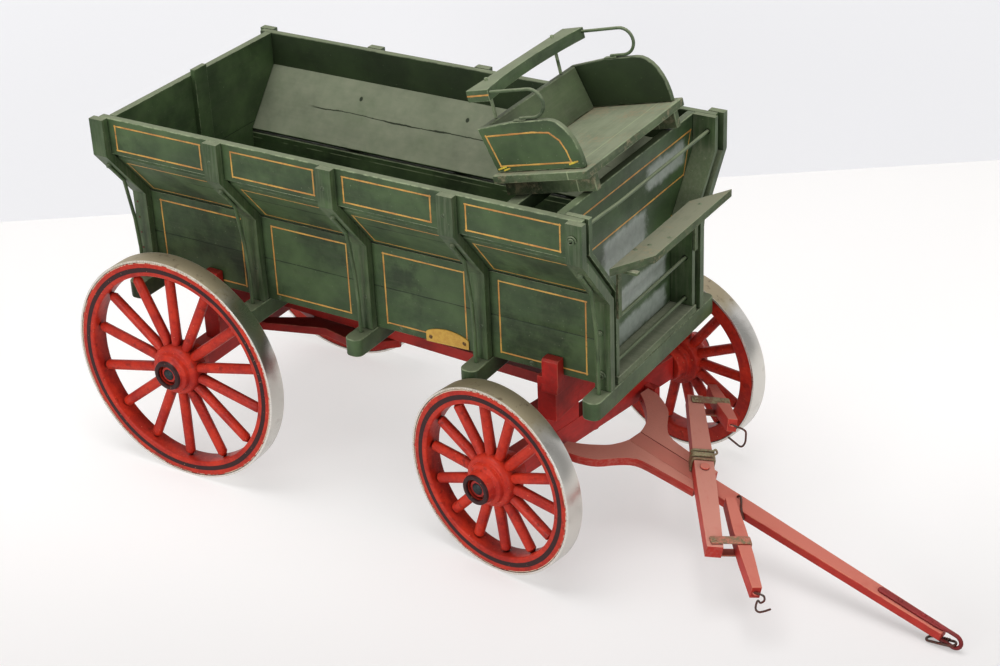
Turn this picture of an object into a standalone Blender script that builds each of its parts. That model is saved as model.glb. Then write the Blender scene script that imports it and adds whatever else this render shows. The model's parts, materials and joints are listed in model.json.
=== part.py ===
"""Scale model of a horse-drawn farm wagon with a flared box, spring-less seat and drawbar.

Lengths are in millimetres and angles in degrees; every mesh is scaled to metres when it is made.
X points to the front of the wagon, Y to its left and Z up. While the parts are laid out, X is
measured from the rear end of the box, and Z from the ground. At the end the whole wagon is
shifted along X so that the origin lies under the middle of it.
"""
import math

import bmesh
import bpy
from mathutils import Matrix, Vector

MM = 0.001

# Clearance between pieces that touch, and around pieces that turn or slide
GAP = 0.3
RUNNING_GAP = 0.5
BORE_CLEARANCE = 0.4

# How far a cutting tool reaches past what it cuts, and a stub into what it joins
CUT_MARGIN = 5.0
STUB_SINK = 1.0

# Wheels
REAR_WHEEL_RADIUS = 92.5
FRONT_WHEEL_RADIUS = 73.5
REAR_HALF_TRACK = 119.5
FRONT_HALF_TRACK = 118.8
TYRE_WIDTH = 16.0
TYRE_THICKNESS = 1.8
FELLOE_WIDTH = 15.2
FELLOE_DEPTH = 11.4
SPOKE_COUNT = 14
SPOKE_ROOT_RADIUS = 3.9
SPOKE_TIP_RADIUS = 3.3
SPOKE_SINK = 2.0
HUB_RADIUS = 20.5
HUB_BARREL_WIDTH = 17.0
HUB_SHOULDER_RADIUS = 15.5
HUB_SHOULDER_WIDTH = 4.5
HUB_NOSE_RADIUS = 10.8
HUB_INNER_RADIUS = 13.0
HUB_INNER_LENGTH = 12.0
REAR_NOSE_LENGTH = 9.0
FRONT_NOSE_LENGTH = 14.0
NOSE_POCKET_RADIUS = 7.4
NOSE_POCKET_DEPTH = 5.5
AXLE_ARM_RADIUS = 5.0
AXLE_NUT_RADIUS = 6.4
AXLE_NUT_WIDTH = 2.4
AXLE_ARM_ROOT = 4.0
NOSE_LEAST_LENGTH = 2.0

# Positions along the wagon
BOX_LENGTH = 416.0
REAR_AXLE_X = 61.0
FRONT_AXLE_SETBACK = 55.3
REAR_BAY = 105.5
BAYS_AHEAD = 3

# Box, from the cross sills up
BED_HEIGHT = 130.0
SILL_HEIGHT = 14.0
SILL_WIDTH = 14.0
SILL_HALF_LENGTH = 92.0
SILL_CORNER = 5.5
FLOOR_THICKNESS = 6.0
BOX_HALF_WIDTH = 61.0
SIDE_THICKNESS = 5.0
LOWER_SIDE_HEIGHT = 69.0
PLANK_GROOVE = 0.8
FLARE_ANGLE = 39.2
UPPER_HALF_WIDTH = 96.6
UPPER_SIDE_THICKNESS = 5.9
UPPER_SIDE_HEIGHT = 29.0
FLARE_LAP = 2.3
BOARD_SETBACK = 4.0
POST_WIDTH = 12.5
POST_THICKNESS = 6.0
BRACE_RADIUS = 1.4
BRACE_SINK = 0.5
BRACE_FOOT_Y = 78.5
BRACE_BEND_Y = 87.0
BRACE_TOP_Y = 101.0
BRACE_KNEE = 2.0
BRACE_KNEE_DROP = 35.0
BRACE_FOOT_DROP = 60.0
GATE_THICKNESS = 6.0
FRONT_GATE_SETBACK = 19.7
TAIL_GATE_SETBACK = 9.5
GATE_CLEAT_WIDTH = 15.0
GATE_CLEAT_THICKNESS = 4.0
GATE_TAB_HEIGHT = 5.0
CLEAT_THICKNESS = 4.5
CLEAT_SETBACK = 1.5
ROD_RADIUS = 1.9
ROD_SETBACK = 7.5
UPPER_ROD_DROP = 11.4
MIDDLE_ROD_DROP = 24.0
LOWER_ROD_RISE = 11.7
ROD_NUT_RADIUS = 4.0
ROD_NUT_WIDTH = 2.8

# Footboard on two flat irons
FOOTBOARD_DROP = 46.4
FOOTBOARD_THICKNESS = 6.0
FOOTBOARD_WIDTH = 18.2
FOOTBOARD_LENGTH = 120.0
FOOTBOARD_REAR_RIGHT_Y = -73.0
FOOTBOARD_SKEW = 32.0
FOOT_IRON_THICKNESS = 2.0
FOOT_IRON_DROP = 38.0
FOOT_IRON_REACH = 16.0

# Seat, laid out square to its board and then tilted
SEAT_TILT = 14.0
SEAT_SETBACK = 90.2
SEAT_LENGTH = 75.4
SEAT_HALF_WIDTH = 71.0
SEAT_BOARD_THICKNESS = 6.0
SEAT_RUNNER_HEIGHT = 12.0
SEAT_RUNNER_WIDTH = 6.0
SEAT_RUNNER_INSET = 9.0
SEAT_RUNNER_SETBACK = 1.0
SEAT_BAR_WIDTH = 12.0
SEAT_BAR_HEIGHT = 10.0
SEAT_BAR_SETBACK = 8.0
SEAT_END_INSET = 5.0
SEAT_END_THICKNESS = 4.5
SEAT_END_HEIGHT = 35.5
SEAT_END_FRONT = 71.7
SEAT_END_ROUND = 21.7
SEAT_BACK_HEIGHT = 32.2
SEAT_BACK_FOOT = 2.0
SEAT_BACK_LEAN = 8.0
SEAT_BACK_THICKNESS = 5.0
RAIL_UNDERSIDE = 51.2
RAIL_THICKNESS = 8.4
RAIL_REAR = -7.0
RAIL_END_WIDTH = 17.6
RAIL_MIDDLE_WIDTH = 11.5
RAIL_HALF_LENGTH = 66.0
STRUT_RADIUS = 1.3
STRUT_Y = 45.0
STRUT_U = -3.3
STRUT_TOP_REACH = 2.0
ARM_WIRE_RADIUS = 1.25
ARM_WIRE_REACH = 30.0
ARM_WIRE_FOOT = 10.5
ARM_WIRE_DROP = 1.5

# Running gear
AXLE_WIDTH = 15.0
REAR_AXLE_BOTTOM = 82.0
REAR_AXLE_TOP = 100.5
BOLSTER_WIDTH = 15.0
BOLSTER_OFFSET = 5.0
STAKE_OFFSET = 8.0
STAKE_THICKNESS = 8.5
STAKE_WIDTH = 13.0
STAKE_RISE = 14.5
STAKE_CHAMFER = 1.5
STAKE_FOOT_HEIGHT = 6.0
STAKE_FOOT_SPREAD = 1.5
FRONT_BOLSTER_BOTTOM = 110.0
FRONT_AXLE_WIDTH = 14.0
FRONT_AXLE_BOTTOM = 65.0
FRONT_AXLE_TOP = 84.5
SAND_BOARD_HALF_LENGTH = 70.0
HOUND_BLOCK_INNER = 24.0
HOUND_BLOCK_OUTER = 60.0
REACH_WIDTH = 8.0
REACH_BOTTOM = 88.0
REACH_HEIGHT = 9.2
REACH_PLAY = 0.8
REACH_NOSE = 7.0
KING_PIN_RADIUS = 2.0
KING_NUT_RADIUS = 4.5
KING_NUT_HEIGHT = 3.0
HOUNDS_BOTTOM = 87.3
HOUNDS_HEIGHT = 7.0
HOUNDS_HALF_SPREAD = 29.0
HOUNDS_ARM_WIDTH = 9.0
HOUNDS_NECK = 12.0
HOUNDS_CHEEK = 18.0
HOUNDS_LENGTH = 121.7
HOUNDS_NECK_LENGTH = 58.0
HOUNDS_CHEEK_LENGTH = 36.0
HOUNDS_CROTCH = 18.0
HOUNDS_CHEEK_FLAT = 14.0
HOUNDS_NOSE_HALF_WIDTH = 1.0

# Drawbar, laid out along its own X from its hinge
STEER_REST = -9.98
DRAWBAR_DROOP = 12.05
DRAWBAR_HINGE_AHEAD = 13.0
DRAWBAR_HINGE_HEIGHT = 71.04
DRAWBAR_THICKNESS = 7.0
POLE_ROOT = 26.0
POLE_TIP = 294.8
POLE_TAPER_START = 131.0
POLE_ROOT_WIDTH = 14.0
POLE_TIP_WIDTH = 9.0
ARM_BORE_RADIUS = 2.4
HINGE_PIN_RADIUS = 2.0
EAR_LENGTH = 17.5
EAR_INNER = 53.6
EAR_OUTER = 59.6
EAR_BOTTOM = 66.3
EAR_TOP = 75.8
HINGE_PIN_INNER = 42.0
ARM_HEEL = 2.5
ARM_INNER_HEEL = 43.5
ARM_OUTER_HEEL = 53.0
ARM_HEEL_LENGTH = 6.0
ARM_SHOULDER = (15.0, 49.5)
ARM_ELBOW = (25.8, 42.0)
ARM_HOLLOW = (35.0, 28.5)
ARM_WAIST = (44.2, 19.8)
ARM_CHEEK = (60.0, 17.0)
ARM_TOE = 92.3
ARM_TOE_HALF_WIDTH = 14.7
ARM_INNER_WAIST = (20.7, 22.0)
ARM_INNER_ELBOW = (14.0, 30.0)
ARM_INNER_SHOULDER = (6.0, 37.5)
ARM_CROTCH_DEPTH = 5.0
ARM_CROTCH_SETBACK = 1.2

# Doubletree and singletrees
DOUBLETREE_X = 88.9
DOUBLETREE_REST = 41.7
DOUBLETREE_HOLE = 77.9
DOUBLETREE_TIP = 84.0
DOUBLETREE_MIDDLE_WIDTH = 14.5
DOUBLETREE_END_WIDTH = 11.5
DOUBLETREE_THICKNESS = 9.8
DOUBLETREE_FLAT_SHARE = 0.25
DRAW_PIN_RADIUS = 2.1
DRAW_PIN_HEAD_RADIUS = 3.6
DRAW_PIN_HEAD_HEIGHT = 1.8
SINGLETREE_HALF_LENGTH = 45.5
SINGLETREE_MIDDLE_WIDTH = 9.5
SINGLETREE_END_WIDTH = 7.0
SINGLETREE_FLAT_SHARE = 0.3
CLIP_LENGTH = 20.5
CLIP_WIDTH = 7.0
CLIP_THICKNESS = 1.0
CLIP_PIN_RADIUS = 1.5
CLIP_SINK = 0.2
CLIP_PAD = 3.0
RIGHT_SINGLETREE_REST = 6.0
LEFT_SINGLETREE_TILT = -22.0
LEFT_SINGLETREE_REST = 1.0
EYE_WIRE_RADIUS = 0.7
EYE_RADIUS = 2.0
EYE_SINK = 1.4
EYE_OPENING = 30.0

# Iron loop at the drawbar's tip and the ring that hangs in it
POLE_STRAP_START = 243.5
POLE_STRAP_WIDTH = 5.6
POLE_STRAP_THICKNESS = 1.6
LOOP_WIRE_RADIUS = 1.5
LOOP_CENTRE = 303.5
LOOP_TAIL = 286.0
LOOP_LAP = 10.0
RING_WIRE_RADIUS = 1.0
RING_LENGTH = 22.0
RING_HALF_WIDTH = 3.2
RING_SEAT_ANGLE = 50.0
RING_REST = 23.0

# Heights and distances that follow from the sizes above
SILL_TOP = BED_HEIGHT + SILL_HEIGHT
BASE = SILL_TOP + GAP
FLOOR_TOP = BASE + FLOOR_THICKNESS
LOWER_SIDE_TOP = SILL_TOP + LOWER_SIDE_HEIGHT
FLARE_SIN = math.sin(math.radians(FLARE_ANGLE))
FLARE_COS = math.cos(math.radians(FLARE_ANGLE))
FLARE_SLOPE = FLARE_COS / FLARE_SIN
FLARE_FOOT_Z = LOWER_SIDE_TOP + GAP + SIDE_THICKNESS * FLARE_SIN
FLARE_HEAD_Y = UPPER_HALF_WIDTH - GAP
FLARE_HEAD_Z = FLARE_FOOT_Z + (FLARE_HEAD_Y - BOX_HALF_WIDTH) * FLARE_SLOPE
UPPER_SIDE_BOTTOM = FLARE_HEAD_Z - FLARE_LAP
BOX_TOP = UPPER_SIDE_BOTTOM + UPPER_SIDE_HEIGHT
ROD_HEIGHTS = {
    "upper": BOX_TOP - UPPER_ROD_DROP,
    "middle": LOWER_SIDE_TOP - MIDDLE_ROD_DROP,
    "lower": BASE + LOWER_ROD_RISE,
}
FOOTBOARD_TOP = BOX_TOP - FOOTBOARD_DROP
UPPER_OUTSIDE = UPPER_HALF_WIDTH + UPPER_SIDE_THICKNESS
LOWER_OUTSIDE = BOX_HALF_WIDTH + SIDE_THICKNESS
KING_PIN_X = BOX_LENGTH - FRONT_AXLE_SETBACK
SEAT_REAR_X = BOX_LENGTH - SEAT_SETBACK
STAKE_TOP = SILL_TOP + STAKE_RISE
REACH_TOP = REACH_BOTTOM + REACH_HEIGHT
HOUNDS_START = REAR_AXLE_X + AXLE_WIDTH / 2 + GAP
HOUNDS_END = HOUNDS_START + HOUNDS_LENGTH
SAND_BOARD_BOTTOM = REACH_TOP + REACH_PLAY
SAND_BOARD_TOP = FRONT_BOLSTER_BOTTOM - GAP
ROD_HOLE_RADIUS = ROD_RADIUS + GAP
ROD_X = BOX_LENGTH - ROD_SETBACK
REAR_HUB_INNER = REAR_HALF_TRACK - TYRE_WIDTH - HUB_INNER_LENGTH
FRONT_HUB_INNER = FRONT_HALF_TRACK - TYRE_WIDTH - HUB_INNER_LENGTH

COLOURS = {
    "green": ((0.035, 0.085, 0.035), 0.45, 0.0),
    "pale_green": ((0.16, 0.20, 0.12), 0.75, 0.0),
    "red": ((0.50, 0.035, 0.020), 0.5, 0.0),
    "dusty_red": ((0.45, 0.12, 0.085), 0.75, 0.0),
    "dark_iron": ((0.045, 0.05, 0.04), 0.5, 0.7),
    "bright_steel": ((0.62, 0.60, 0.56), 0.28, 1.0),
}


def material(name):
    """Return the named material, made on its first use."""
    if name in bpy.data.materials:
        return bpy.data.materials[name]
    colour, roughness, metallic = COLOURS[name]
    made = bpy.data.materials.new(name)
    made.use_nodes = True
    shader = made.node_tree.nodes["Principled BSDF"]
    shader.inputs["Base Color"].default_value = (*colour, 1.0)
    shader.inputs["Roughness"].default_value = roughness
    shader.inputs["Metallic"].default_value = metallic
    return made


def clear_scene():
    for old in list(bpy.data.objects):
        bpy.data.objects.remove(old, do_unlink=True)


def frame(name, parent, location, rotation=(0.0, 0.0, 0.0)):
    """Add an empty at a place in its parent's frame; location in millimetres, rotation in degrees."""
    empty = bpy.data.objects.new(name, None)
    empty.empty_display_size = 10.0 * MM
    bpy.context.collection.objects.link(empty)
    empty.parent = parent
    empty.location = Vector(location) * MM
    empty.rotation_euler = [math.radians(angle) for angle in rotation]
    return empty


def piece(name, mesh_data, colour, parent):
    """Turn a bmesh drawn in millimetres in the parent's frame into an object."""
    bmesh.ops.scale(mesh_data, vec=(MM, MM, MM), verts=mesh_data.verts)
    bmesh.ops.recalc_face_normals(mesh_data, faces=mesh_data.faces)
    mesh = bpy.data.meshes.new(name)
    mesh_data.to_mesh(mesh)
    mesh_data.free()
    mesh.materials.append(material(colour))
    made = bpy.data.objects.new(name, mesh)
    bpy.context.collection.objects.link(made)
    made.parent = parent
    return made


def prism(outline, axis, start, end):
    """Extrude a closed outline along an axis; its points lie in the other two axes, in XYZ order."""
    solid = bmesh.new()
    index = "xyz".index(axis)
    corners = []
    for pair in outline:
        place = list(pair)
        place.insert(index, start)
        corners.append(solid.verts.new(place))
    face = solid.faces.new(corners)
    grown = bmesh.ops.extrude_face_region(solid, geom=[face])
    moved = [item for item in grown["geom"] if isinstance(item, bmesh.types.BMVert)]
    travel = [0.0, 0.0, 0.0]
    travel[index] = end - start
    bmesh.ops.translate(solid, vec=travel, verts=moved)
    return solid


def block(x_range, y_range, z_range):
    """A box between three pairs of limits."""
    corners = [
        (x_range[0], y_range[0]),
        (x_range[1], y_range[0]),
        (x_range[1], y_range[1]),
        (x_range[0], y_range[1]),
    ]
    return prism(corners, "z", *z_range)


def turned(profile, centre, axis, segments, ring=False):
    """Spin a profile of (distance along the axis, radius) points about an axis through centre."""
    solid = bmesh.new()
    directions = {"x": ((1, 0, 0), (0, 0, 1)), "y": ((0, 1, 0), (0, 0, 1)), "z": ((0, 0, 1), (1, 0, 0))}
    along, outward = [Vector(direction) for direction in directions[axis]]
    start = Vector(centre)
    verts = [solid.verts.new(start + along * distance + outward * radius) for distance, radius in profile]
    edges = [solid.edges.new(pair) for pair in zip(verts, verts[1:])]
    if ring:
        edges.append(solid.edges.new((verts[-1], verts[0])))
    bmesh.ops.spin(
        solid, geom=verts + edges, cent=start, axis=along, dvec=(0, 0, 0),
        angle=math.tau, steps=segments, use_merge=True)
    bmesh.ops.remove_doubles(solid, verts=solid.verts, dist=0.001)
    return solid


def cylinder(centre, axis, start, end, radius, segments=16):
    """A plain round bar from start to end along an axis."""
    profile = [(start, 0.0), (start, radius), (end, radius), (end, 0.0)]
    return turned(profile, centre, axis, segments)


def wire(points, radius, closed=False, sides=2):
    """A round wire along a list of points, as a bevelled curve turned into a mesh."""
    curve = bpy.data.curves.new("wire", "CURVE")
    curve.dimensions = "3D"
    curve.bevel_depth = radius
    curve.bevel_resolution = sides
    curve.use_fill_caps = not closed
    spline = curve.splines.new("POLY")
    spline.points.add(len(points) - 1)
    for target, point in zip(spline.points, points):
        target.co = (*point, 1.0)
    spline.use_cyclic_u = closed
    holder = bpy.data.objects.new("wire", curve)
    bpy.context.collection.objects.link(holder)
    mesh = bpy.data.meshes.new_from_object(holder)
    solid = bmesh.new()
    solid.from_mesh(mesh)
    bmesh.ops.remove_doubles(solid, verts=solid.verts, dist=0.001)
    bpy.data.objects.remove(holder, do_unlink=True)
    bpy.data.curves.remove(curve)
    bpy.data.meshes.remove(mesh)
    return solid


def arc(centre, radius, start, end, steps):
    """Points on an arc in a plane, from one angle to another in degrees."""
    points = []
    for step in range(steps + 1):
        angle = math.radians(start + (end - start) * step / steps)
        points.append((centre[0] + radius * math.cos(angle), centre[1] + radius * math.sin(angle)))
    return points


def smooth(points, steps):
    """Points on a Catmull-Rom curve through the given points."""
    padded = [points[0]] + list(points) + [points[-1]]
    result = []
    for index in range(len(points) - 1):
        before, here, there, after = [Vector(point) for point in padded[index:index + 4]]
        for step in range(steps):
            t = step / steps
            linear = (there - before) * t
            square = (2 * before - 5 * here + 4 * there - after) * t ** 2
            cubic = (3 * here - before - 3 * there + after) * t ** 3
            result.append(tuple(0.5 * (2 * here + linear + square + cubic)))
    result.append(tuple(points[-1]))
    return result


def boolean(base, operation, solids):
    """Union or cut a list of bmeshes with an object, in the object's own frame."""
    for solid in solids:
        tool = piece("tool", solid, base.data.materials[0].name, base.parent)
        modifier = base.modifiers.new(operation, "BOOLEAN")
        modifier.operation = operation
        modifier.solver = "EXACT"
        modifier.object = tool
        bpy.context.view_layer.update()
        depsgraph = bpy.context.evaluated_depsgraph_get()
        result = bpy.data.meshes.new_from_object(base.evaluated_get(depsgraph), depsgraph=depsgraph)
        result.name = base.name
        base.modifiers.remove(modifier)
        base.data = result
        bpy.data.objects.remove(tool, do_unlink=True)
    return base


def fused(base, *solids):
    return boolean(base, "UNION", solids)


def cut(base, *solids):
    return boolean(base, "DIFFERENCE", solids)


def soften(target, width):
    """Break the sharp edges of a wooden piece."""
    bevel = target.modifiers.new("worn edges", "BEVEL")
    bevel.width = width * MM
    bevel.segments = 1
    bevel.limit_method = "ANGLE"
    bevel.angle_limit = math.radians(40.0)
    return target


def shade_round(target):
    target.data.shade_smooth()
    target.data.set_sharp_from_angle(angle=math.radians(35.0))
    return target


def mirrored(outline, side):
    """Put an outline of (y, z) points on the left (side 1) or the right (side -1)."""
    return [(side * y, z) for y, z in outline]


def flare_outside(y, offset):
    """Height of a line that runs parallel to the flare board, offset outward from its inner face."""
    start_y = BOX_HALF_WIDTH + offset * FLARE_COS
    start_z = FLARE_FOOT_Z - offset * FLARE_SIN
    return start_z + (y - start_y) * FLARE_SLOPE


def post_centres():
    """X of the five posts on each side: one longer bay at the rear, equal bays ahead of it."""
    first = POST_WIDTH / 2
    second = first + REAR_BAY
    last = BOX_LENGTH - POST_WIDTH / 2
    bay = (last - second) / BAYS_AHEAD
    return [first] + [second + bay * index for index in range(BAYS_AHEAD + 1)]


def make_sills(wagon):
    rounding = SILL_CORNER
    half = SILL_WIDTH / 2
    for number, centre in enumerate(post_centres(), start=1):
        middle = min(max(centre, half), BOX_LENGTH - half)
        outline = []
        for sign_x, sign_y, start in ((1, 1, 0), (-1, 1, 90), (-1, -1, 180), (1, -1, 270)):
            corner = (middle + sign_x * (half - rounding), sign_y * (SILL_HALF_LENGTH - rounding))
            outline += arc(corner, rounding, start, start + 90, 4)
        piece(f"cross_sill_{number}", prism(outline, "z", BED_HEIGHT, SILL_TOP), "green", wagon)


def make_floor(wagon):
    half = BOX_HALF_WIDTH - GAP
    solid = block((0.0, BOX_LENGTH), (-half, half), (BASE, FLOOR_TOP))
    soften(piece("floor_board", solid, "pale_green", wagon), 0.4)


def rod_hole(height):
    reach = UPPER_OUTSIDE + 2 * POST_THICKNESS
    return cylinder((ROD_X, 0.0, height), "y", -reach, reach, ROD_HOLE_RADIUS, 12)


def lower_side(wagon, side, name):
    """Two planks glued edge to edge, with a groove outside at their joint."""
    middle = (BASE + LOWER_SIDE_TOP) / 2
    outside = LOWER_OUTSIDE
    outline = [
        (BOX_HALF_WIDTH, BASE),
        (outside, BASE),
        (outside, middle - PLANK_GROOVE),
        (outside - PLANK_GROOVE, middle),
        (outside, middle + PLANK_GROOVE),
        (outside, LOWER_SIDE_TOP),
        (BOX_HALF_WIDTH, LOWER_SIDE_TOP),
    ]
    solid = prism(mirrored(outline, side), "x", BOARD_SETBACK, BOX_LENGTH - BOARD_SETBACK)
    board = piece(f"lower_side_{name}", solid, "green", wagon)
    cut(board, rod_hole(ROD_HEIGHTS["middle"]), rod_hole(ROD_HEIGHTS["lower"]))


def flare_side(wagon, side, name):
    """The slanted board that widens the box."""
    foot_y = BOX_HALF_WIDTH + SIDE_THICKNESS * FLARE_COS
    foot_z = FLARE_FOOT_Z - SIDE_THICKNESS * FLARE_SIN
    outline = [
        (BOX_HALF_WIDTH, FLARE_FOOT_Z),
        (foot_y, foot_z),
        (FLARE_HEAD_Y, flare_outside(FLARE_HEAD_Y, SIDE_THICKNESS)),
        (FLARE_HEAD_Y, FLARE_HEAD_Z),
    ]
    solid = prism(mirrored(outline, side), "x", BOARD_SETBACK, BOX_LENGTH - BOARD_SETBACK)
    piece(f"flare_side_{name}", solid, "pale_green", wagon)


def upper_side(wagon, side, name):
    outline = [
        (UPPER_HALF_WIDTH, UPPER_SIDE_BOTTOM),
        (UPPER_OUTSIDE, UPPER_SIDE_BOTTOM),
        (UPPER_OUTSIDE, BOX_TOP),
        (UPPER_HALF_WIDTH, BOX_TOP),
    ]
    solid = prism(mirrored(outline, side), "x", BOARD_SETBACK, BOX_LENGTH - BOARD_SETBACK)
    board = piece(f"upper_side_{name}", solid, "green", wagon)
    cut(board, rod_hole(ROD_HEIGHTS["upper"]))


def post_outline():
    """Section of a post, which follows the lower side, the flare and the upper side."""
    inner = LOWER_OUTSIDE + GAP
    outer = inner + POST_THICKNESS
    head_inner = UPPER_OUTSIDE + GAP
    head_outer = head_inner + POST_THICKNESS
    inside = SIDE_THICKNESS + GAP
    outside = inside + POST_THICKNESS
    ledge = UPPER_SIDE_BOTTOM - GAP
    ledge_y = UPPER_OUTSIDE - (flare_outside(UPPER_OUTSIDE, inside) - ledge) / FLARE_SLOPE
    return [
        (inner, BASE),
        (inner, flare_outside(inner, inside)),
        (ledge_y, ledge),
        (head_inner, ledge),
        (head_inner, BOX_TOP),
        (head_outer, BOX_TOP),
        (head_outer, flare_outside(head_outer, outside)),
        (outer, flare_outside(outer, outside)),
        (outer, BASE),
    ]


def brace_path(x, side):
    """A rod from the underside of the post's slant down to the end of the sill."""
    under = SIDE_THICKNESS + GAP + POST_THICKNESS + BRACE_RADIUS - BRACE_SINK
    bend_z = flare_outside(BRACE_BEND_Y, under)
    path = [(BRACE_TOP_Y, flare_outside(BRACE_TOP_Y, under)), (BRACE_BEND_Y, bend_z)]
    path += [
        (BRACE_FOOT_Y + BRACE_KNEE, bend_z - BRACE_KNEE_DROP),
        (BRACE_FOOT_Y, bend_z - BRACE_FOOT_DROP),
        (BRACE_FOOT_Y, BASE),
    ]
    return [(x, side * y, z) for y, z in path]


def make_posts(wagon):
    names = ("rear", "second", "third", "fourth", "front")
    for side, side_name in ((1, "left"), (-1, "right")):
        outline = mirrored(post_outline(), side)
        for name, centre in zip(names, post_centres()):
            solid = prism(outline, "x", centre - POST_WIDTH / 2, centre + POST_WIDTH / 2)
            post = piece(f"post_{name}_{side_name}", solid, "green", wagon)
            if name == "front":
                cut(post, *[rod_hole(height) for height in ROD_HEIGHTS.values()])
            fused(post, wire(brace_path(centre, side), BRACE_RADIUS))


def gate_outline():
    """Half outline of an end gate, which fills the box between its sides."""
    half = BOX_HALF_WIDTH - GAP
    head = UPPER_HALF_WIDTH - GAP
    return [
        (half, FLOOR_TOP + GAP),
        (half, flare_outside(half, -GAP)),
        (head, flare_outside(head, -GAP)),
        (head, BOX_TOP),
    ]


def gate(name, start, wagon):
    half = gate_outline()
    outline = half + [(-y, z) for y, z in reversed(half)]
    return piece(name, prism(outline, "x", start, start + GATE_THICKNESS), "green", wagon)


def make_gates(wagon, tail_frame):
    gate("front_gate", BOX_LENGTH - FRONT_GATE_SETBACK - GATE_THICKNESS, wagon)
    tail = gate("tail_gate", TAIL_GATE_SETBACK, tail_frame)
    half = GATE_CLEAT_WIDTH / 2
    inside = TAIL_GATE_SETBACK + GATE_THICKNESS
    cleat = block(
        (inside - GAP, inside + GATE_CLEAT_THICKNESS), (-half, half),
        (FLOOR_TOP + 2 * GAP, BOX_TOP + GATE_TAB_HEIGHT))
    fused(tail, cleat)


def make_front_cleats(wagon):
    """Strips inside the box that hold the front gate from the front."""
    start = BOX_LENGTH - FRONT_GATE_SETBACK + GAP
    end = BOX_LENGTH - CLEAT_SETBACK
    for side, name in ((1, "left"), (-1, "right")):
        outer = gate_outline()
        inner = [(y - CLEAT_THICKNESS, z) for y, z in reversed(outer)]
        solid = prism(mirrored(outer + inner, side), "x", start, end)
        cleat = piece(f"front_cleat_{name}", solid, "green", wagon)
        cut(cleat, *[rod_hole(height) for height in ROD_HEIGHTS.values()])


def make_rods(wagon):
    """Tie rods across the front of the box, with a nut at each end."""
    for name, height in ROD_HEIGHTS.items():
        outside = UPPER_OUTSIDE if height > UPPER_SIDE_BOTTOM else LOWER_OUTSIDE
        seat = outside + GAP + POST_THICKNESS + GAP
        end = seat + ROD_NUT_WIDTH
        profile = [(-end, 0.0), (-end, ROD_NUT_RADIUS), (-seat, ROD_NUT_RADIUS), (-seat, ROD_RADIUS)]
        profile += [(-distance, radius) for distance, radius in reversed(profile)]
        solid = turned(profile, (ROD_X, 0.0, height), "y", 12)
        shade_round(piece(f"tie_rod_{name}", solid, "pale_green", wagon))


def make_footboard(wagon):
    """A plank cut on the skew, on two flat irons screwed to the front cleats."""
    rear = BOX_LENGTH + GAP
    front = rear + FOOTBOARD_WIDTH
    right = FOOTBOARD_REAR_RIGHT_Y
    left = right + FOOTBOARD_LENGTH
    outline = [
        (rear, right),
        (front, right + FOOTBOARD_SKEW),
        (front, left + FOOTBOARD_SKEW),
        (rear, left),
    ]
    underside = FOOTBOARD_TOP - FOOTBOARD_THICKNESS
    board = piece("footboard", prism(outline, "z", underside, FOOTBOARD_TOP), "pale_green", wagon)
    foot = BOX_LENGTH - CLEAT_SETBACK + GAP
    profile = [
        (foot, underside - FOOT_IRON_DROP),
        (foot + FOOT_IRON_THICKNESS, underside - FOOT_IRON_DROP),
        (foot + FOOT_IRON_THICKNESS, underside - FOOT_IRON_THICKNESS),
        (foot + FOOT_IRON_REACH, underside - FOOT_IRON_THICKNESS),
        (foot + FOOT_IRON_REACH, underside + GAP),
        (foot, underside + GAP),
    ]
    inner = BOX_HALF_WIDTH - GAP - CLEAT_THICKNESS
    for side in (1, -1):
        start, end = sorted((side * inner, side * (BOX_HALF_WIDTH - GAP)))
        fused(board, prism(profile, "y", start, end))


def seat_frame(wagon):
    """Frame of the tilted seat: its X runs up the board from the rear edge of the board's top."""
    drop = SEAT_BOARD_THICKNESS + SEAT_RUNNER_HEIGHT
    sine = math.sin(math.radians(SEAT_TILT))
    cosine = math.cos(math.radians(SEAT_TILT))
    gate_rear = BOX_LENGTH - FRONT_GATE_SETBACK - GATE_THICKNESS
    along = (gate_rear - SEAT_REAR_X - drop * sine) / cosine
    height = BOX_TOP + GAP - along * sine + drop * cosine
    return frame("seat_frame", wagon, (SEAT_REAR_X, 0.0, height), (0.0, -SEAT_TILT, 0.0))


def make_seat(wagon):
    seat = seat_frame(wagon)
    board = piece("seat_board", block(
        (0.0, SEAT_LENGTH), (-SEAT_HALF_WIDTH, SEAT_HALF_WIDTH), (-SEAT_BOARD_THICKNESS, 0.0)),
        "pale_green", seat)
    underside = -SEAT_BOARD_THICKNESS - SEAT_RUNNER_HEIGHT
    runner_outer = SEAT_HALF_WIDTH - SEAT_RUNNER_INSET
    for side in (1, -1):
        y_range = sorted((side * runner_outer, side * (runner_outer - SEAT_RUNNER_WIDTH)))
        x_range = (SEAT_BACK_FOOT, SEAT_LENGTH - SEAT_RUNNER_SETBACK)
        fused(board, block(x_range, y_range, (underside, -SEAT_BOARD_THICKNESS / 2)))

    bar_top = underside - GAP
    bar_half = UPPER_HALF_WIDTH - GAP
    bar = block(
        (SEAT_BAR_SETBACK, SEAT_BAR_SETBACK + SEAT_BAR_WIDTH), (-bar_half, bar_half),
        (bar_top - SEAT_BAR_HEIGHT, bar_top))
    piece("seat_cross_bar", bar, "green", seat)

    panel_outer = SEAT_HALF_WIDTH - SEAT_END_INSET
    panel_inner = panel_outer - SEAT_END_THICKNESS
    for side, name in ((1, "left"), (-1, "right")):
        start, end = sorted((side * panel_outer, side * panel_inner))
        piece(f"seat_end_{name}", prism(seat_end_outline(), "y", start, end), "green", seat)
    make_seat_back(seat, panel_inner - GAP)
    make_lazy_back(seat, (panel_outer + panel_inner) / 2)


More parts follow.
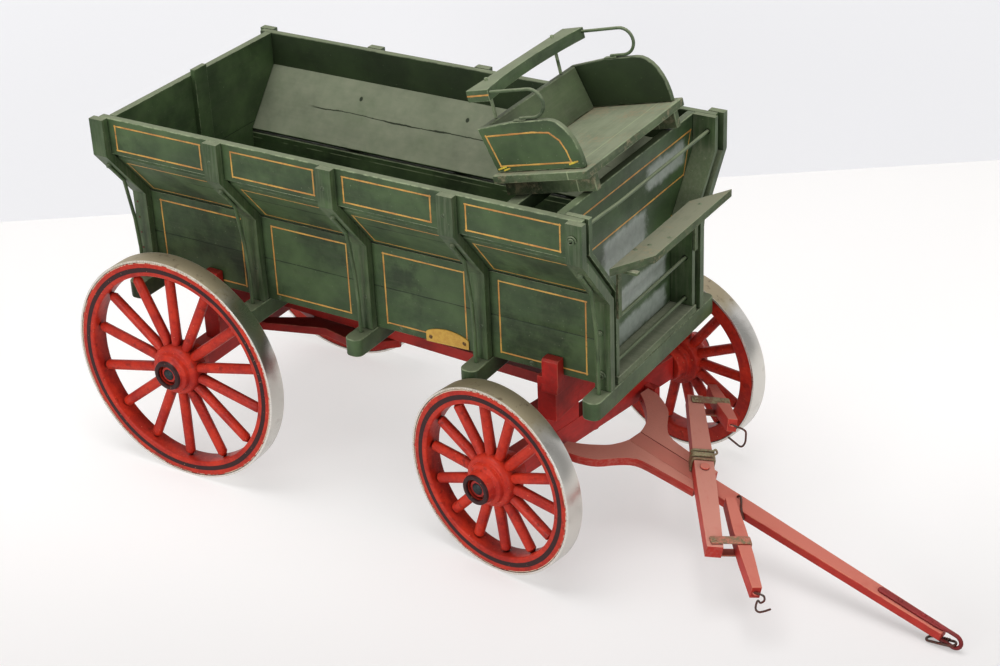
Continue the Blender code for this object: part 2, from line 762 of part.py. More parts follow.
def seat_end_outline():
    """Side panel of the seat: a leaning rear edge and an elliptical front corner."""
    centre = SEAT_END_FRONT - SEAT_END_ROUND
    outline = [(SEAT_BACK_FOOT, GAP), (SEAT_END_FRONT, GAP)]
    for step in range(1, 9):
        angle = math.radians(90.0 * step / 8)
        outline.append((centre + SEAT_END_ROUND * math.cos(angle), SEAT_END_HEIGHT * math.sin(angle)))
    outline.append((SEAT_BACK_FOOT + SEAT_END_ROUND, SEAT_END_HEIGHT))
    outline.append((SEAT_BACK_FOOT - SEAT_BACK_LEAN, SEAT_BACK_HEIGHT))
    return outline


def make_seat_back(seat, half_width):
    foot = SEAT_BACK_FOOT
    head = SEAT_BACK_FOOT - SEAT_BACK_LEAN
    outline = [
        (foot, GAP),
        (foot + SEAT_BACK_THICKNESS, GAP),
        (head + SEAT_BACK_THICKNESS, SEAT_BACK_HEIGHT),
        (head, SEAT_BACK_HEIGHT),
    ]
    piece("seat_back", prism(outline, "y", -half_width, half_width), "pale_green", seat)


def rail_front(y):
    """Front edge of the lazy-back rail, hollowed between its ends."""
    share = (y / RAIL_HALF_LENGTH) ** 2
    width = RAIL_MIDDLE_WIDTH + (RAIL_END_WIDTH - RAIL_MIDDLE_WIDTH) * share
    return RAIL_REAR + width


def make_lazy_back(seat, wire_y):
    """Curved back rail on two upright struts, tied to the seat ends by bent wires."""
    steps = 12
    outline = [(RAIL_REAR, -RAIL_HALF_LENGTH)]
    for step in range(steps + 1):
        y = RAIL_HALF_LENGTH * (2 * step / steps - 1)
        outline.append((rail_front(y), y))
    outline.append((RAIL_REAR, RAIL_HALF_LENGTH))
    top = RAIL_UNDERSIDE + RAIL_THICKNESS
    rail = piece("lazy_back_rail", prism(outline, "z", RAIL_UNDERSIDE, top), "pale_green", seat)
    strut_base = SEAT_BACK_HEIGHT + GAP
    for side in (1, -1):
        place = (STRUT_U, side * STRUT_Y, 0.0)
        fused(rail, cylinder(place, "z", strut_base, top + STRUT_TOP_REACH, STRUT_RADIUS, 10))

    start_u = rail_front(wire_y) + GAP
    foot_w = SEAT_END_HEIGHT + GAP + ARM_WIRE_RADIUS
    start_w = top - ARM_WIRE_RADIUS - ARM_WIRE_DROP
    radius = (start_w - foot_w) / 2
    bend_u = start_u + ARM_WIRE_REACH
    path = [(start_u, start_w)] + arc((bend_u, foot_w + radius), radius, 90, -90, 10)
    path.append((bend_u - ARM_WIRE_FOOT, foot_w))
    for side, name in ((1, "left"), (-1, "right")):
        points = [(u, side * wire_y, w) for u, w in path]
        piece(f"lazy_back_iron_{name}", wire(points, ARM_WIRE_RADIUS), "green", seat)


def hub_profile(nose_length):
    """Closed section of a hub about its axle; distances grow outward from the wheel's middle plane."""
    half = TYRE_WIDTH / 2
    barrel = HUB_BARREL_WIDTH / 2
    outer_end = half + nose_length
    shoulder = min(barrel + HUB_SHOULDER_WIDTH, outer_end - NOSE_LEAST_LENGTH)
    inner_end = half + HUB_INNER_LENGTH
    bore = AXLE_ARM_RADIUS + BORE_CLEARANCE
    return [
        (-inner_end, bore),
        (-inner_end, HUB_INNER_RADIUS),
        (-barrel - HUB_SHOULDER_WIDTH, HUB_INNER_RADIUS),
        (-barrel - HUB_SHOULDER_WIDTH, HUB_SHOULDER_RADIUS),
        (-barrel, HUB_SHOULDER_RADIUS),
        (-barrel, HUB_RADIUS),
        (barrel, HUB_RADIUS),
        (barrel, HUB_SHOULDER_RADIUS),
        (shoulder, HUB_SHOULDER_RADIUS),
        (shoulder, HUB_NOSE_RADIUS),
        (outer_end, HUB_NOSE_RADIUS),
        (outer_end, NOSE_POCKET_RADIUS),
        (outer_end - NOSE_POCKET_DEPTH, NOSE_POCKET_RADIUS),
        (outer_end - NOSE_POCKET_DEPTH, bore),
    ]


def wheel(name, radius, nose_length, axle_frame, side):
    """A spoked wooden wheel and its metal tyre, about the Y axis of a frame at the wheel's centre."""
    rim = radius - TYRE_THICKNESS - GAP
    half = FELLOE_WIDTH / 2
    ring = [(-half, rim - FELLOE_DEPTH), (-half, rim), (half, rim), (half, rim - FELLOE_DEPTH)]
    segments = 4 * SPOKE_COUNT
    wooden = piece(f"wheel_{name}", turned(ring, (0, 0, 0), "y", segments, ring=True), "red", axle_frame)
    profile = [(side * distance, size) for distance, size in hub_profile(nose_length)]
    spokes = turned(profile, (0, 0, 0), "y", 28, ring=True)
    hub = piece("hub", spokes, "red", axle_frame)
    root = HUB_SHOULDER_RADIUS
    tip = rim - FELLOE_DEPTH + SPOKE_SINK
    for index in range(SPOKE_COUNT):
        turn = Matrix.Rotation(math.tau * (index + 0.5) / SPOKE_COUNT, 4, "Y")
        bar = turned(
            [(root, 0.0), (root, SPOKE_ROOT_RADIUS), (tip, SPOKE_TIP_RADIUS), (tip, 0.0)],
            (0, 0, 0), "z", 8)
        bmesh.ops.transform(bar, matrix=turn, verts=bar.verts)
        fused(hub, bar)
    joined = bmesh.new()
    joined.from_mesh(hub.data)
    bmesh.ops.scale(joined, vec=(1 / MM, 1 / MM, 1 / MM), verts=joined.verts)
    bpy.data.objects.remove(hub, do_unlink=True)
    shade_round(fused(wooden, joined))
    tyre_half = TYRE_WIDTH / 2
    tyre_inner = radius - TYRE_THICKNESS
    band = [(-tyre_half, tyre_inner), (-tyre_half, radius), (tyre_half, radius), (tyre_half, tyre_inner)]
    tyre = turned(band, (0, 0, 0), "y", segments, ring=True)
    shade_round(piece(f"tyre_{name}", tyre, "bright_steel", axle_frame))


def axle_arm(half_track, nose_length, height, side, x=0.0):
    """Round end of an axle with a nut that keeps the wheel on."""
    end = half_track + nose_length - NOSE_POCKET_DEPTH + GAP
    start = half_track - TYRE_WIDTH - HUB_INNER_LENGTH - AXLE_ARM_ROOT
    profile = [
        (start, 0.0),
        (start, AXLE_ARM_RADIUS),
        (end, AXLE_ARM_RADIUS),
        (end, AXLE_NUT_RADIUS),
        (end + AXLE_NUT_WIDTH, AXLE_NUT_RADIUS),
        (end + AXLE_NUT_WIDTH, 0.0),
    ]
    profile = [(side * distance, radius) for distance, radius in profile]
    return turned(profile, (x, 0.0, height), "y", 16)


def make_rear_gear(wagon):
    half = REAR_HUB_INNER - RUNNING_GAP
    x_range = (REAR_AXLE_X - AXLE_WIDTH / 2, REAR_AXLE_X + AXLE_WIDTH / 2)
    axle = piece("rear_axle", block(x_range, (-half, half), (REAR_AXLE_BOTTOM, REAR_AXLE_TOP)), "red", wagon)
    for side in (1, -1):
        fused(axle, axle_arm(REAR_HALF_TRACK, REAR_NOSE_LENGTH, REAR_WHEEL_RADIUS, side, REAR_AXLE_X))
    make_bolster("rear_bolster", REAR_AXLE_X, REAR_AXLE_TOP + GAP, wagon)
    for side, name in ((1, "rear_left"), (-1, "rear_right")):
        centre = side * (REAR_HALF_TRACK - TYRE_WIDTH / 2)
        hub_frame = frame(f"axis_{name}", wagon, (REAR_AXLE_X, centre, REAR_WHEEL_RADIUS))
        wheel(name, REAR_WHEEL_RADIUS, REAR_NOSE_LENGTH, hub_frame, side)


def make_bolster(name, axle_x, bottom, wagon):
    """Cross beam under the box, with a stake at each end that keeps the box from sliding off."""
    centre = axle_x + BOLSTER_OFFSET
    inner = LOWER_OUTSIDE + GAP
    outer = inner + STAKE_THICKNESS
    foot_base = SILL_TOP - GAP - SILL_HEIGHT + STAKE_FOOT_HEIGHT / 2
    x_range = (centre - BOLSTER_WIDTH / 2, centre + BOLSTER_WIDTH / 2)
    bolster = piece(name, block(x_range, (-outer, outer), (bottom, SILL_TOP)), "red", wagon)
    stake = axle_x + STAKE_OFFSET
    half = STAKE_WIDTH / 2
    for side in (1, -1):
        outline = [
            (inner, foot_base - GAP),
            (outer + STAKE_FOOT_SPREAD, foot_base),
            (outer + STAKE_FOOT_SPREAD, foot_base + STAKE_FOOT_HEIGHT / 2),
            (outer, foot_base + STAKE_FOOT_HEIGHT),
            (outer, STAKE_TOP - STAKE_CHAMFER),
            (outer - STAKE_CHAMFER, STAKE_TOP),
            (inner, STAKE_TOP),
        ]
        fused(bolster, prism(mirrored(outline, side), "x", stake - half, stake + half))
    return bolster


def make_reach(wagon):
    """Long pole between the axles, which rises to the rear over the hounds; bored for the king pin."""
    start = REAR_AXLE_X + BOLSTER_OFFSET + BOLSTER_WIDTH / 2 + GAP
    half = REACH_WIDTH / 2
    outline = [(start, -half), (KING_PIN_X, -half)]
    outline += arc((KING_PIN_X + REACH_NOSE - half, 0.0), half, -90, 90, 6)
    outline += [(KING_PIN_X, half), (start, half)]
    solid = prism(outline, "z", REACH_BOTTOM, REACH_TOP)
    slope = (HOUNDS_BOTTOM + HOUNDS_HEIGHT + GAP - REACH_BOTTOM) / (KING_PIN_X - HOUNDS_END)
    for vertex in solid.verts:
        vertex.co.z += (KING_PIN_X - vertex.co.x) * slope
    reach = piece("reach", solid, "red", wagon)
    bore = KING_PIN_RADIUS + BORE_CLEARANCE
    bore_range = (REACH_BOTTOM - CUT_MARGIN, REACH_TOP + CUT_MARGIN)
    cut(reach, cylinder((KING_PIN_X, 0.0, 0.0), "z", *bore_range, bore, 12))


def make_rear_hounds(wagon):
    """Two braces from the rear axle that close on the reach, with rounded cheeks at their end."""
    neck = HOUNDS_START + HOUNDS_NECK_LENGTH
    cheek = HOUNDS_END - HOUNDS_CHEEK_LENGTH
    round_end = smooth([
        (neck, HOUNDS_NECK),
        (cheek, HOUNDS_CHEEK),
        (cheek + HOUNDS_CHEEK_FLAT, HOUNDS_CHEEK),
        (HOUNDS_END, HOUNDS_NOSE_HALF_WIDTH),
    ], 4)
    outer = [(HOUNDS_START, HOUNDS_HALF_SPREAD)] + round_end
    inner = [(HOUNDS_START, HOUNDS_HALF_SPREAD - HOUNDS_ARM_WIDTH), (neck - HOUNDS_CROTCH, 0.0)]
    outline = outer + [(x, -y) for x, y in reversed(outer)]
    outline += [(inner[0][0], -inner[0][1]), inner[1], inner[0]]
    solid = prism(outline, "z", HOUNDS_BOTTOM, HOUNDS_BOTTOM + HOUNDS_HEIGHT)
    piece("rear_hounds", solid, "red", wagon)


def make_front_bolster(wagon):
    """Front bolster with the king pin that the front axle turns on."""
    bolster = make_bolster("front_bolster", KING_PIN_X, FRONT_BOLSTER_BOTTOM, wagon)
    nut_top = FRONT_AXLE_BOTTOM - GAP
    nut_bottom = nut_top - KING_NUT_HEIGHT
    profile = [
        (nut_bottom, 0.0),
        (nut_bottom, KING_NUT_RADIUS),
        (nut_top, KING_NUT_RADIUS),
        (nut_top, KING_PIN_RADIUS),
        (FRONT_BOLSTER_BOTTOM + CUT_MARGIN, KING_PIN_RADIUS),
        (FRONT_BOLSTER_BOTTOM + CUT_MARGIN, 0.0),
    ]
    fused(bolster, turned(profile, (KING_PIN_X, 0.0, 0.0), "z", 16))


def make_front_axle(steering):
    """Axle, hound blocks and sand board in the frame of the king pin, with ears for the drawbar."""
    half_width = FRONT_AXLE_WIDTH / 2
    x_range = (-half_width, half_width)
    half = FRONT_HUB_INNER - RUNNING_GAP
    beam = block(x_range, (-half, half), (FRONT_AXLE_BOTTOM, FRONT_AXLE_TOP))
    axle = piece("front_axle", beam, "red", steering)
    sand_half = SAND_BOARD_HALF_LENGTH
    block_x = (-half_width + GAP, half_width - GAP)
    block_z = (FRONT_AXLE_TOP - GAP, SAND_BOARD_BOTTOM + GAP)
    for side in (1, -1):
        block_y = sorted((side * HOUND_BLOCK_INNER, side * HOUND_BLOCK_OUTER))
        fused(axle, block(block_x, block_y, block_z))
    fused(axle, block(x_range, (-sand_half, sand_half), (SAND_BOARD_BOTTOM, SAND_BOARD_TOP)))
    hinge = (DRAWBAR_HINGE_AHEAD, 0.0, DRAWBAR_HINGE_HEIGHT)
    for side in (1, -1):
        ear_y = sorted((side * EAR_INNER, side * EAR_OUTER))
        pin_y = sorted((side * HINGE_PIN_INNER, side * (EAR_INNER + STUB_SINK)))
        fused(
            axle,
            block((half_width - GAP, EAR_LENGTH), ear_y, (EAR_BOTTOM, EAR_TOP)),
            cylinder(hinge, "y", *pin_y, HINGE_PIN_RADIUS, 12),
            axle_arm(FRONT_HALF_TRACK, FRONT_NOSE_LENGTH, FRONT_WHEEL_RADIUS, side))
    bore = KING_PIN_RADIUS + BORE_CLEARANCE
    bore_range = (FRONT_AXLE_BOTTOM - CUT_MARGIN, SAND_BOARD_TOP + CUT_MARGIN)
    cut(axle, cylinder((0.0, 0.0, 0.0), "z", *bore_range, bore, 12))
    for side, name in ((1, "front_left"), (-1, "front_right")):
        centre = side * (FRONT_HALF_TRACK - TYRE_WIDTH / 2)
        hub_frame = frame(f"axis_{name}", steering, (0.0, centre, FRONT_WHEEL_RADIUS))
        wheel(name, FRONT_WHEEL_RADIUS, FRONT_NOSE_LENGTH, hub_frame, side)


def pole_half_width(x):
    if x <= POLE_TAPER_START:
        return POLE_ROOT_WIDTH / 2
    share = (x - POLE_TAPER_START) / (POLE_TIP - POLE_TAPER_START)
    return (POLE_ROOT_WIDTH + (POLE_TIP_WIDTH - POLE_ROOT_WIDTH) * share) / 2


def make_pole(drawbar):
    """Tapered pole, with the draw pin of the doubletree standing in it."""
    stations = (POLE_ROOT, POLE_TAPER_START, POLE_TIP)
    left = [(x, pole_half_width(x)) for x in stations]
    right = [(x, -y) for x, y in reversed(left)]
    half = DRAWBAR_THICKNESS / 2
    pole = piece("drawbar_pole", prism(left + right, "z", -half, half), "dusty_red", drawbar)
    head = half + GAP + DOUBLETREE_THICKNESS + GAP
    profile = [
        (0.0, 0.0),
        (0.0, DRAW_PIN_RADIUS),
        (head, DRAW_PIN_RADIUS),
        (head, DRAW_PIN_HEAD_RADIUS),
        (head + DRAW_PIN_HEAD_HEIGHT, DRAW_PIN_HEAD_RADIUS),
        (head + DRAW_PIN_HEAD_HEIGHT, 0.0),
    ]
    fused(pole, turned(profile, (DOUBLETREE_X, 0.0, 0.0), "z", 14))


def make_pole_arms(drawbar):
    """Two curved arms that flank the pole and swing on the axle's hinge pins."""
    seam = POLE_ROOT_WIDTH / 2 + GAP
    outer = smooth([
        (ARM_HEEL_LENGTH, ARM_OUTER_HEEL),
        ARM_SHOULDER,
        ARM_ELBOW,
        ARM_HOLLOW,
        ARM_WAIST,
        ARM_CHEEK,
        (ARM_TOE, ARM_TOE_HALF_WIDTH),
    ], 3)
    inner = smooth([
        (POLE_ROOT, seam),
        (POLE_ROOT - ARM_CROTCH_SETBACK, seam + ARM_CROTCH_DEPTH),
        ARM_INNER_WAIST,
        ARM_INNER_ELBOW,
        ARM_INNER_SHOULDER,
        (-ARM_HEEL, ARM_INNER_HEEL),
    ], 3)
    outline = [(-ARM_HEEL, ARM_OUTER_HEEL)] + outer + [(ARM_TOE, seam)] + inner
    half = DRAWBAR_THICKNESS / 2
    for side, name in ((1, "left"), (-1, "right")):
        solid = prism([(x, side * y) for x, y in outline], "z", -half, half)
        arm = piece(f"drawbar_arm_{name}", solid, "dusty_red", drawbar)
        bore_range = sorted((side * (ARM_INNER_HEEL - CUT_MARGIN), side * (ARM_OUTER_HEEL + CUT_MARGIN)))
        cut(arm, cylinder((0.0, 0.0, 0.0), "y", *bore_range, ARM_BORE_RADIUS, 12))


def tapered_bar(half_length, middle_width, end_width, middle_share):
    """Plan outline of a bar along Y that is widest over its middle."""
    flat = half_length * middle_share
    wide = middle_width / 2
    narrow = end_width / 2
    return [
        (wide, -flat),
        (wide, flat),
        (narrow, half_length),
        (-narrow, half_length),
        (-wide, flat),
        (-wide, -flat),
        (-narrow, -half_length),
        (narrow, -half_length),
    ]


def make_doubletree(swing):
    bottom = DRAWBAR_THICKNESS / 2 + GAP
    top = bottom + DOUBLETREE_THICKNESS
    outline = tapered_bar(
        DOUBLETREE_TIP, DOUBLETREE_MIDDLE_WIDTH, DOUBLETREE_END_WIDTH, DOUBLETREE_FLAT_SHARE)
    bar = piece("doubletree", prism(outline, "z", bottom, top), "dusty_red", swing)
    bore_range = (bottom - CUT_MARGIN, top + CUT_MARGIN)
    holes = {0.0: DRAW_PIN_RADIUS, DOUBLETREE_HOLE: CLIP_PIN_RADIUS, -DOUBLETREE_HOLE: CLIP_PIN_RADIUS}
    for y, pin in holes.items():
        cut(bar, cylinder((0.0, y, 0.0), "z", *bore_range, pin + BORE_CLEARANCE, 14))


def screw_eye(side, height):
    """Ring of wire set in the end of a singletree, for a trace hook."""
    centre = side * (SINGLETREE_HALF_LENGTH + EYE_RADIUS - EYE_SINK)
    circle = arc((CLIP_LENGTH, centre), EYE_RADIUS, 0.0, 360.0 - EYE_OPENING, 11)
    return [(x, y, height) for x, y in circle]


def make_singletree(name, swing, tilt):
    """Singletree with the two clip plates and the pin that hang it on the doubletree."""
    low = DRAWBAR_THICKNESS / 2 + GAP
    high = low + DOUBLETREE_THICKNESS
    bottom_plate = (low - GAP - CLIP_THICKNESS, low - GAP)
    top_plate = (high + GAP, high + GAP + CLIP_THICKNESS)
    bar_range = (low, high)
    middle = sum(bar_range) / 2
    outline = tapered_bar(
        SINGLETREE_HALF_LENGTH, SINGLETREE_MIDDLE_WIDTH, SINGLETREE_END_WIDTH, SINGLETREE_FLAT_SHARE)
    solid = prism([(x + CLIP_LENGTH, y) for x, y in outline], "z", *bar_range)
    roll = Matrix.Rotation(math.radians(tilt), 3, "X")
    bmesh.ops.rotate(solid, cent=(0.0, 0.0, middle), matrix=roll, verts=solid.verts)
    bar = piece(f"singletree_{name}", solid, "dusty_red", swing)
    for side in (1, -1):
        eye = wire(screw_eye(side, middle), EYE_WIRE_RADIUS, closed=True, sides=1)
        bmesh.ops.rotate(eye, cent=(0.0, 0.0, middle), matrix=roll, verts=eye.verts)
        fused(bar, eye)
    half = CLIP_WIDTH / 2
    far = CLIP_LENGTH + SINGLETREE_MIDDLE_WIDTH / 2
    plate = [(far, -half), (far, half)] + arc((0.0, 0.0), half, 90, 270, 6)
    inside = (bottom_plate[0] + CLIP_SINK, top_plate[1] - CLIP_SINK)
    pad = block((CLIP_LENGTH - CLIP_PAD, CLIP_LENGTH + CLIP_PAD), (-half, half), inside)
    pin = cylinder((0.0, 0.0, 0.0), "z", *inside, CLIP_PIN_RADIUS, 10)
    fused(bar, pad, prism(plate, "z", *bottom_plate), prism(plate, "z", *top_plate), pin)


def make_pole_iron(drawbar):
    """Strap on the pole's tip that runs out into a loop and back under the wood."""
    half = DRAWBAR_THICKNESS / 2
    seat = half + GAP
    width = POLE_STRAP_WIDTH / 2
    strap = block((POLE_STRAP_START, POLE_TIP), (-width, width), (seat, seat + POLE_STRAP_THICKNESS))
    iron = piece("pole_iron", strap, "dark_iron", drawbar)
    radius = seat + LOOP_WIRE_RADIUS
    path = [(POLE_TIP - LOOP_LAP, radius)] + arc((LOOP_CENTRE, 0.0), radius, 90, -90, 10)
    path.append((LOOP_TAIL, -radius))
    fused(iron, wire([(x, 0.0, z) for x, z in path], LOOP_WIRE_RADIUS))
    return iron


def ring_seat():
    """Where the ring's wire crosses the inside of the loop."""
    loop = DRAWBAR_THICKNESS / 2 + GAP + LOOP_WIRE_RADIUS
    distance = loop - LOOP_WIRE_RADIUS - RING_WIRE_RADIUS - GAP
    angle = math.radians(-RING_SEAT_ANGLE)
    return LOOP_CENTRE + distance * math.cos(angle), distance * math.sin(angle)


def make_pole_ring(swing):
    """Long wire ring; its front end crosses the swing axis."""
    radius = RING_HALF_WIDTH
    path = arc((-radius, 0.0), radius, -90, 90, 8) + arc((-RING_LENGTH + radius, 0.0), radius, 90, 270, 8)
    points = [(x, y, 0.0) for x, y in path]
    piece("pole_ring", wire(points, RING_WIRE_RADIUS, closed=True), "dark_iron", swing)


def make_drawbar(steering):
    hinge = (DRAWBAR_HINGE_AHEAD, 0.0, DRAWBAR_HINGE_HEIGHT)
    drawbar = frame("drawbar_hinge", steering, hinge, (0.0, DRAWBAR_DROOP, 0.0))
    make_pole(drawbar)
    make_pole_arms(drawbar)
    make_pole_iron(drawbar)
    doubletree = frame("doubletree_pin", drawbar, (DOUBLETREE_X, 0.0, 0.0), (0.0, 0.0, DOUBLETREE_REST))
    make_doubletree(doubletree)
    hung = (
        ("left", 1, LEFT_SINGLETREE_REST, LEFT_SINGLETREE_TILT),
        ("right", -1, RIGHT_SINGLETREE_REST, 0.0),
    )
    for name, side, rest, tilt in hung:
        place = (0.0, side * DOUBLETREE_HOLE, 0.0)
        make_singletree(name, frame(f"singletree_pin_{name}", doubletree, place, (0.0, 0.0, rest)), tilt)
    seat_x, seat_z = ring_seat()
    make_pole_ring(frame("ring_pin", drawbar, (seat_x, 0.0, seat_z), (0.0, -RING_REST, 0.0)))


def stand_over_origin(wagon):
    """Shift the wagon along X so that the middle of its length is at the origin."""
    bpy.context.view_layer.update()
    depsgraph = bpy.context.evaluated_depsgraph_get()
    reach = []
    for item in bpy.data.objects:
        if item.type == "MESH":
            placed = item.evaluated_get(depsgraph)
            reach += [(placed.matrix_world @ vertex.co).x for vertex in placed.data.vertices]
    wagon.location.x = -(min(reach) + max(reach)) / 2


def main():
    clear_scene()
    wagon = frame("wagon", None, (0.0, 0.0, 0.0))
    make_sills(wagon)
    make_floor(wagon)
    for side, name in ((1, "left"), (-1, "right")):
        lower_side(wagon, side, name)
        flare_side(wagon, side, name)
        upper_side(wagon, side, name)
    make_posts(wagon)
    make_gates(wagon, frame("tail_gate_slide", wagon, (0.0, 0.0, 0.0)))
    make_front_cleats(wagon)
    make_rods(wagon)
    make_footboard(wagon)
    make_seat(wagon)
    make_rear_gear(wagon)
    make_reach(wagon)
    make_rear_hounds(wagon)
    make_front_bolster(wagon)
    steering = frame("king_pin_axis", wagon, (KING_PIN_X, 0.0, 0.0), (0.0, 0.0, STEER_REST))
    make_front_axle(steering)
    make_drawbar(steering)
    stand_over_origin(wagon)


main()
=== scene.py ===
# %% [markdown]
# # A farm wagon model, dressed for its photograph
#
# The wagon's shapes come from its CAD model, which is loaded as a fixed frame. This notebook gives it
# what a solid lacks: worn edges, turned hubs, painted lines, dust, polished tyres, screws and hooks.
# The lengths of shapes are written in millimetres, and every mesh is scaled to metres when it is
# placed. The sizes of textures, the lamps and the camera are in metres.

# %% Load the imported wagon
import json
import math

import bmesh
import bpy
import numpy as np
from mathutils import Matrix, Vector


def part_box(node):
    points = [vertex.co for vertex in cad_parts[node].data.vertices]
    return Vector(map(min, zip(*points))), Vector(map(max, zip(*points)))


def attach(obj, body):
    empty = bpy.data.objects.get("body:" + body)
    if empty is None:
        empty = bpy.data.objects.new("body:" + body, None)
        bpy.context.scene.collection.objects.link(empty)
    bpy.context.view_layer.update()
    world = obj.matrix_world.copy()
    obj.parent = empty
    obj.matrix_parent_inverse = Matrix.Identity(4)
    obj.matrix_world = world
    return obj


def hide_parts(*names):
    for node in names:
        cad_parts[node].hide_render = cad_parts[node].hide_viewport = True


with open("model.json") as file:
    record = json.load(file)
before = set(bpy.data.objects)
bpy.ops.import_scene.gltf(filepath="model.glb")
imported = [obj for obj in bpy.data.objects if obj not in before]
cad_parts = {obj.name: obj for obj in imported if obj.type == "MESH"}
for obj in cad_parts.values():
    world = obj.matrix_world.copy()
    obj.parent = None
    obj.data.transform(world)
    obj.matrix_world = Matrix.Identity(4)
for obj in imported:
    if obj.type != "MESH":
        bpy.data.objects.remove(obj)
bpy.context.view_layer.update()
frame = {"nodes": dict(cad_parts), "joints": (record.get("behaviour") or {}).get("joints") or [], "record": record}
joints = {joint["name"]: joint for joint in frame["joints"]}
MM = 0.001

# %% [markdown]
# ## Frames of reference
# The front gear stands turned a little, the drawbar droops from it and the seat is tilted. Each was
# built square in its own frame, and is easiest to describe there. The joints of the CAD model hold
# those frames: a joint's place is an origin, and its axis is one direction.


# %% Read the frames from the joints and the seat
class Place:
    """A frame of reference: an origin in metres and three unit axes in the wagon's directions."""

    def __init__(self, origin, x_axis, z_axis):
        self.origin = np.array(origin, float)
        x_axis = np.array(x_axis, float)
        z_axis = np.array(z_axis, float)
        self.z = z_axis / np.linalg.norm(z_axis)
        self.x = x_axis - self.z * (x_axis @ self.z)
        self.x /= np.linalg.norm(self.x)
        self.y = np.cross(self.z, self.x)

    def __call__(self, points):
        """Carry points, in millimetres here, to metres in the wagon's frame."""
        axes = np.stack([self.x, self.y, self.z])
        return self.origin + np.asarray(points, float) * MM @ axes

    def local(self, points):
        """Bring points, in metres of the wagon's frame, to millimetres of this one."""
        axes = np.stack([self.x, self.y, self.z])
        return (points - self.origin) @ axes.T / MM


def joint_axis(name):
    return np.array(joints[name]["axis"], float)


def joint_point(name):
    return np.array(joints[name]["pos_m"], float)


def points_of(mesh):
    """The mesh's vertices as rows of an array."""
    points = np.zeros(len(mesh.vertices) * 3, np.float32)
    mesh.vertices.foreach_get("co", points)
    return points.reshape(-1, 3).astype(float)


wagon = Place((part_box("floor_board")[0].x, 0.0, 0.0), (1, 0, 0), (0, 0, 1))
drawbar_z = joint_axis("doubletree_swing")
drawbar_x = np.cross(joint_axis("drawbar_lift"), drawbar_z)
drawbar = Place(joint_point("drawbar_lift"), drawbar_x, drawbar_z)
tree_span = joint_point("singletree_left_swing") - joint_point("singletree_right_swing")
doubletree = Place(joint_point("doubletree_swing"), np.cross(tree_span, drawbar_z), drawbar_z)

SEAT_TILT = math.radians(14.0)
seat_x = np.array([math.cos(SEAT_TILT), 0.0, math.sin(SEAT_TILT)])
seat_z = np.array([-math.sin(SEAT_TILT), 0.0, math.cos(SEAT_TILT)])
seat_points = points_of(frame["nodes"]["seat_board"].data)
seat_origin = seat_x * (seat_points @ seat_x).min() + seat_z * (seat_points @ seat_z).max()
seat = Place(seat_origin, seat_x, seat_z)
print("seat origin", seat.origin.round(4), "drawbar origin", drawbar.origin.round(4))

# %% [markdown]
# ## Camera
# The photograph was taken from the right and above the drawbar with a moderately long lens. The
# camera's place and turn were worked out from the edges of the panels and the circles of the wheels.

# %% Set the camera
CAMERA_PLACE = (0.689207, -1.15712, 0.86672)
CAMERA_YAW = math.radians(122.159)
CAMERA_PITCH = math.radians(-28.565)
CAMERA_ROLL = math.radians(-2.475)
FOCAL_LENGTH = 74.52
SENSOR_WIDTH = 36.0

looking = Vector((
    math.cos(CAMERA_PITCH) * math.cos(CAMERA_YAW),
    math.cos(CAMERA_PITCH) * math.sin(CAMERA_YAW),
    math.sin(CAMERA_PITCH)))
level = looking.cross(Vector((0, 0, 1))).normalized()
above = level.cross(looking)
right = math.cos(CAMERA_ROLL) * level + math.sin(CAMERA_ROLL) * above
upward = math.cos(CAMERA_ROLL) * above - math.sin(CAMERA_ROLL) * level
camera_data = bpy.data.cameras.new("camera")
camera_data.lens = FOCAL_LENGTH
camera_data.sensor_width = SENSOR_WIDTH
camera = bpy.data.objects.new("camera", camera_data)
camera.matrix_world = Matrix((right, upward, -looking)).transposed().to_4x4()
camera.location = CAMERA_PLACE
bpy.context.scene.collection.objects.link(camera)
bpy.context.scene.camera = camera
bpy.context.scene.view_settings.view_transform = "Standard"
print("camera", [round(value, 3) for value in camera.location])

# %% [markdown]
# ## Shader maths
# A finish is a recipe of masks: where dust lies, where paint is worn, where a line runs. Nodes one by
# one are hard to read, so a small class wraps a node's output and turns `a * b + 1` into Math nodes.
# Every other node is added by one method of the finish.


# %% A value that varies over a surface, and a finish that is being made
def plug(tree, socket, value):
    """Link a socket to a value, or set the constant that it holds."""
    if isinstance(value, Value):
        value = value.socket
    if isinstance(value, bpy.types.NodeSocket):
        tree.links.new(value, socket)
    elif socket.type == "RGBA":
        socket.default_value = (*value[:3], 1.0)
    else:
        socket.default_value = value


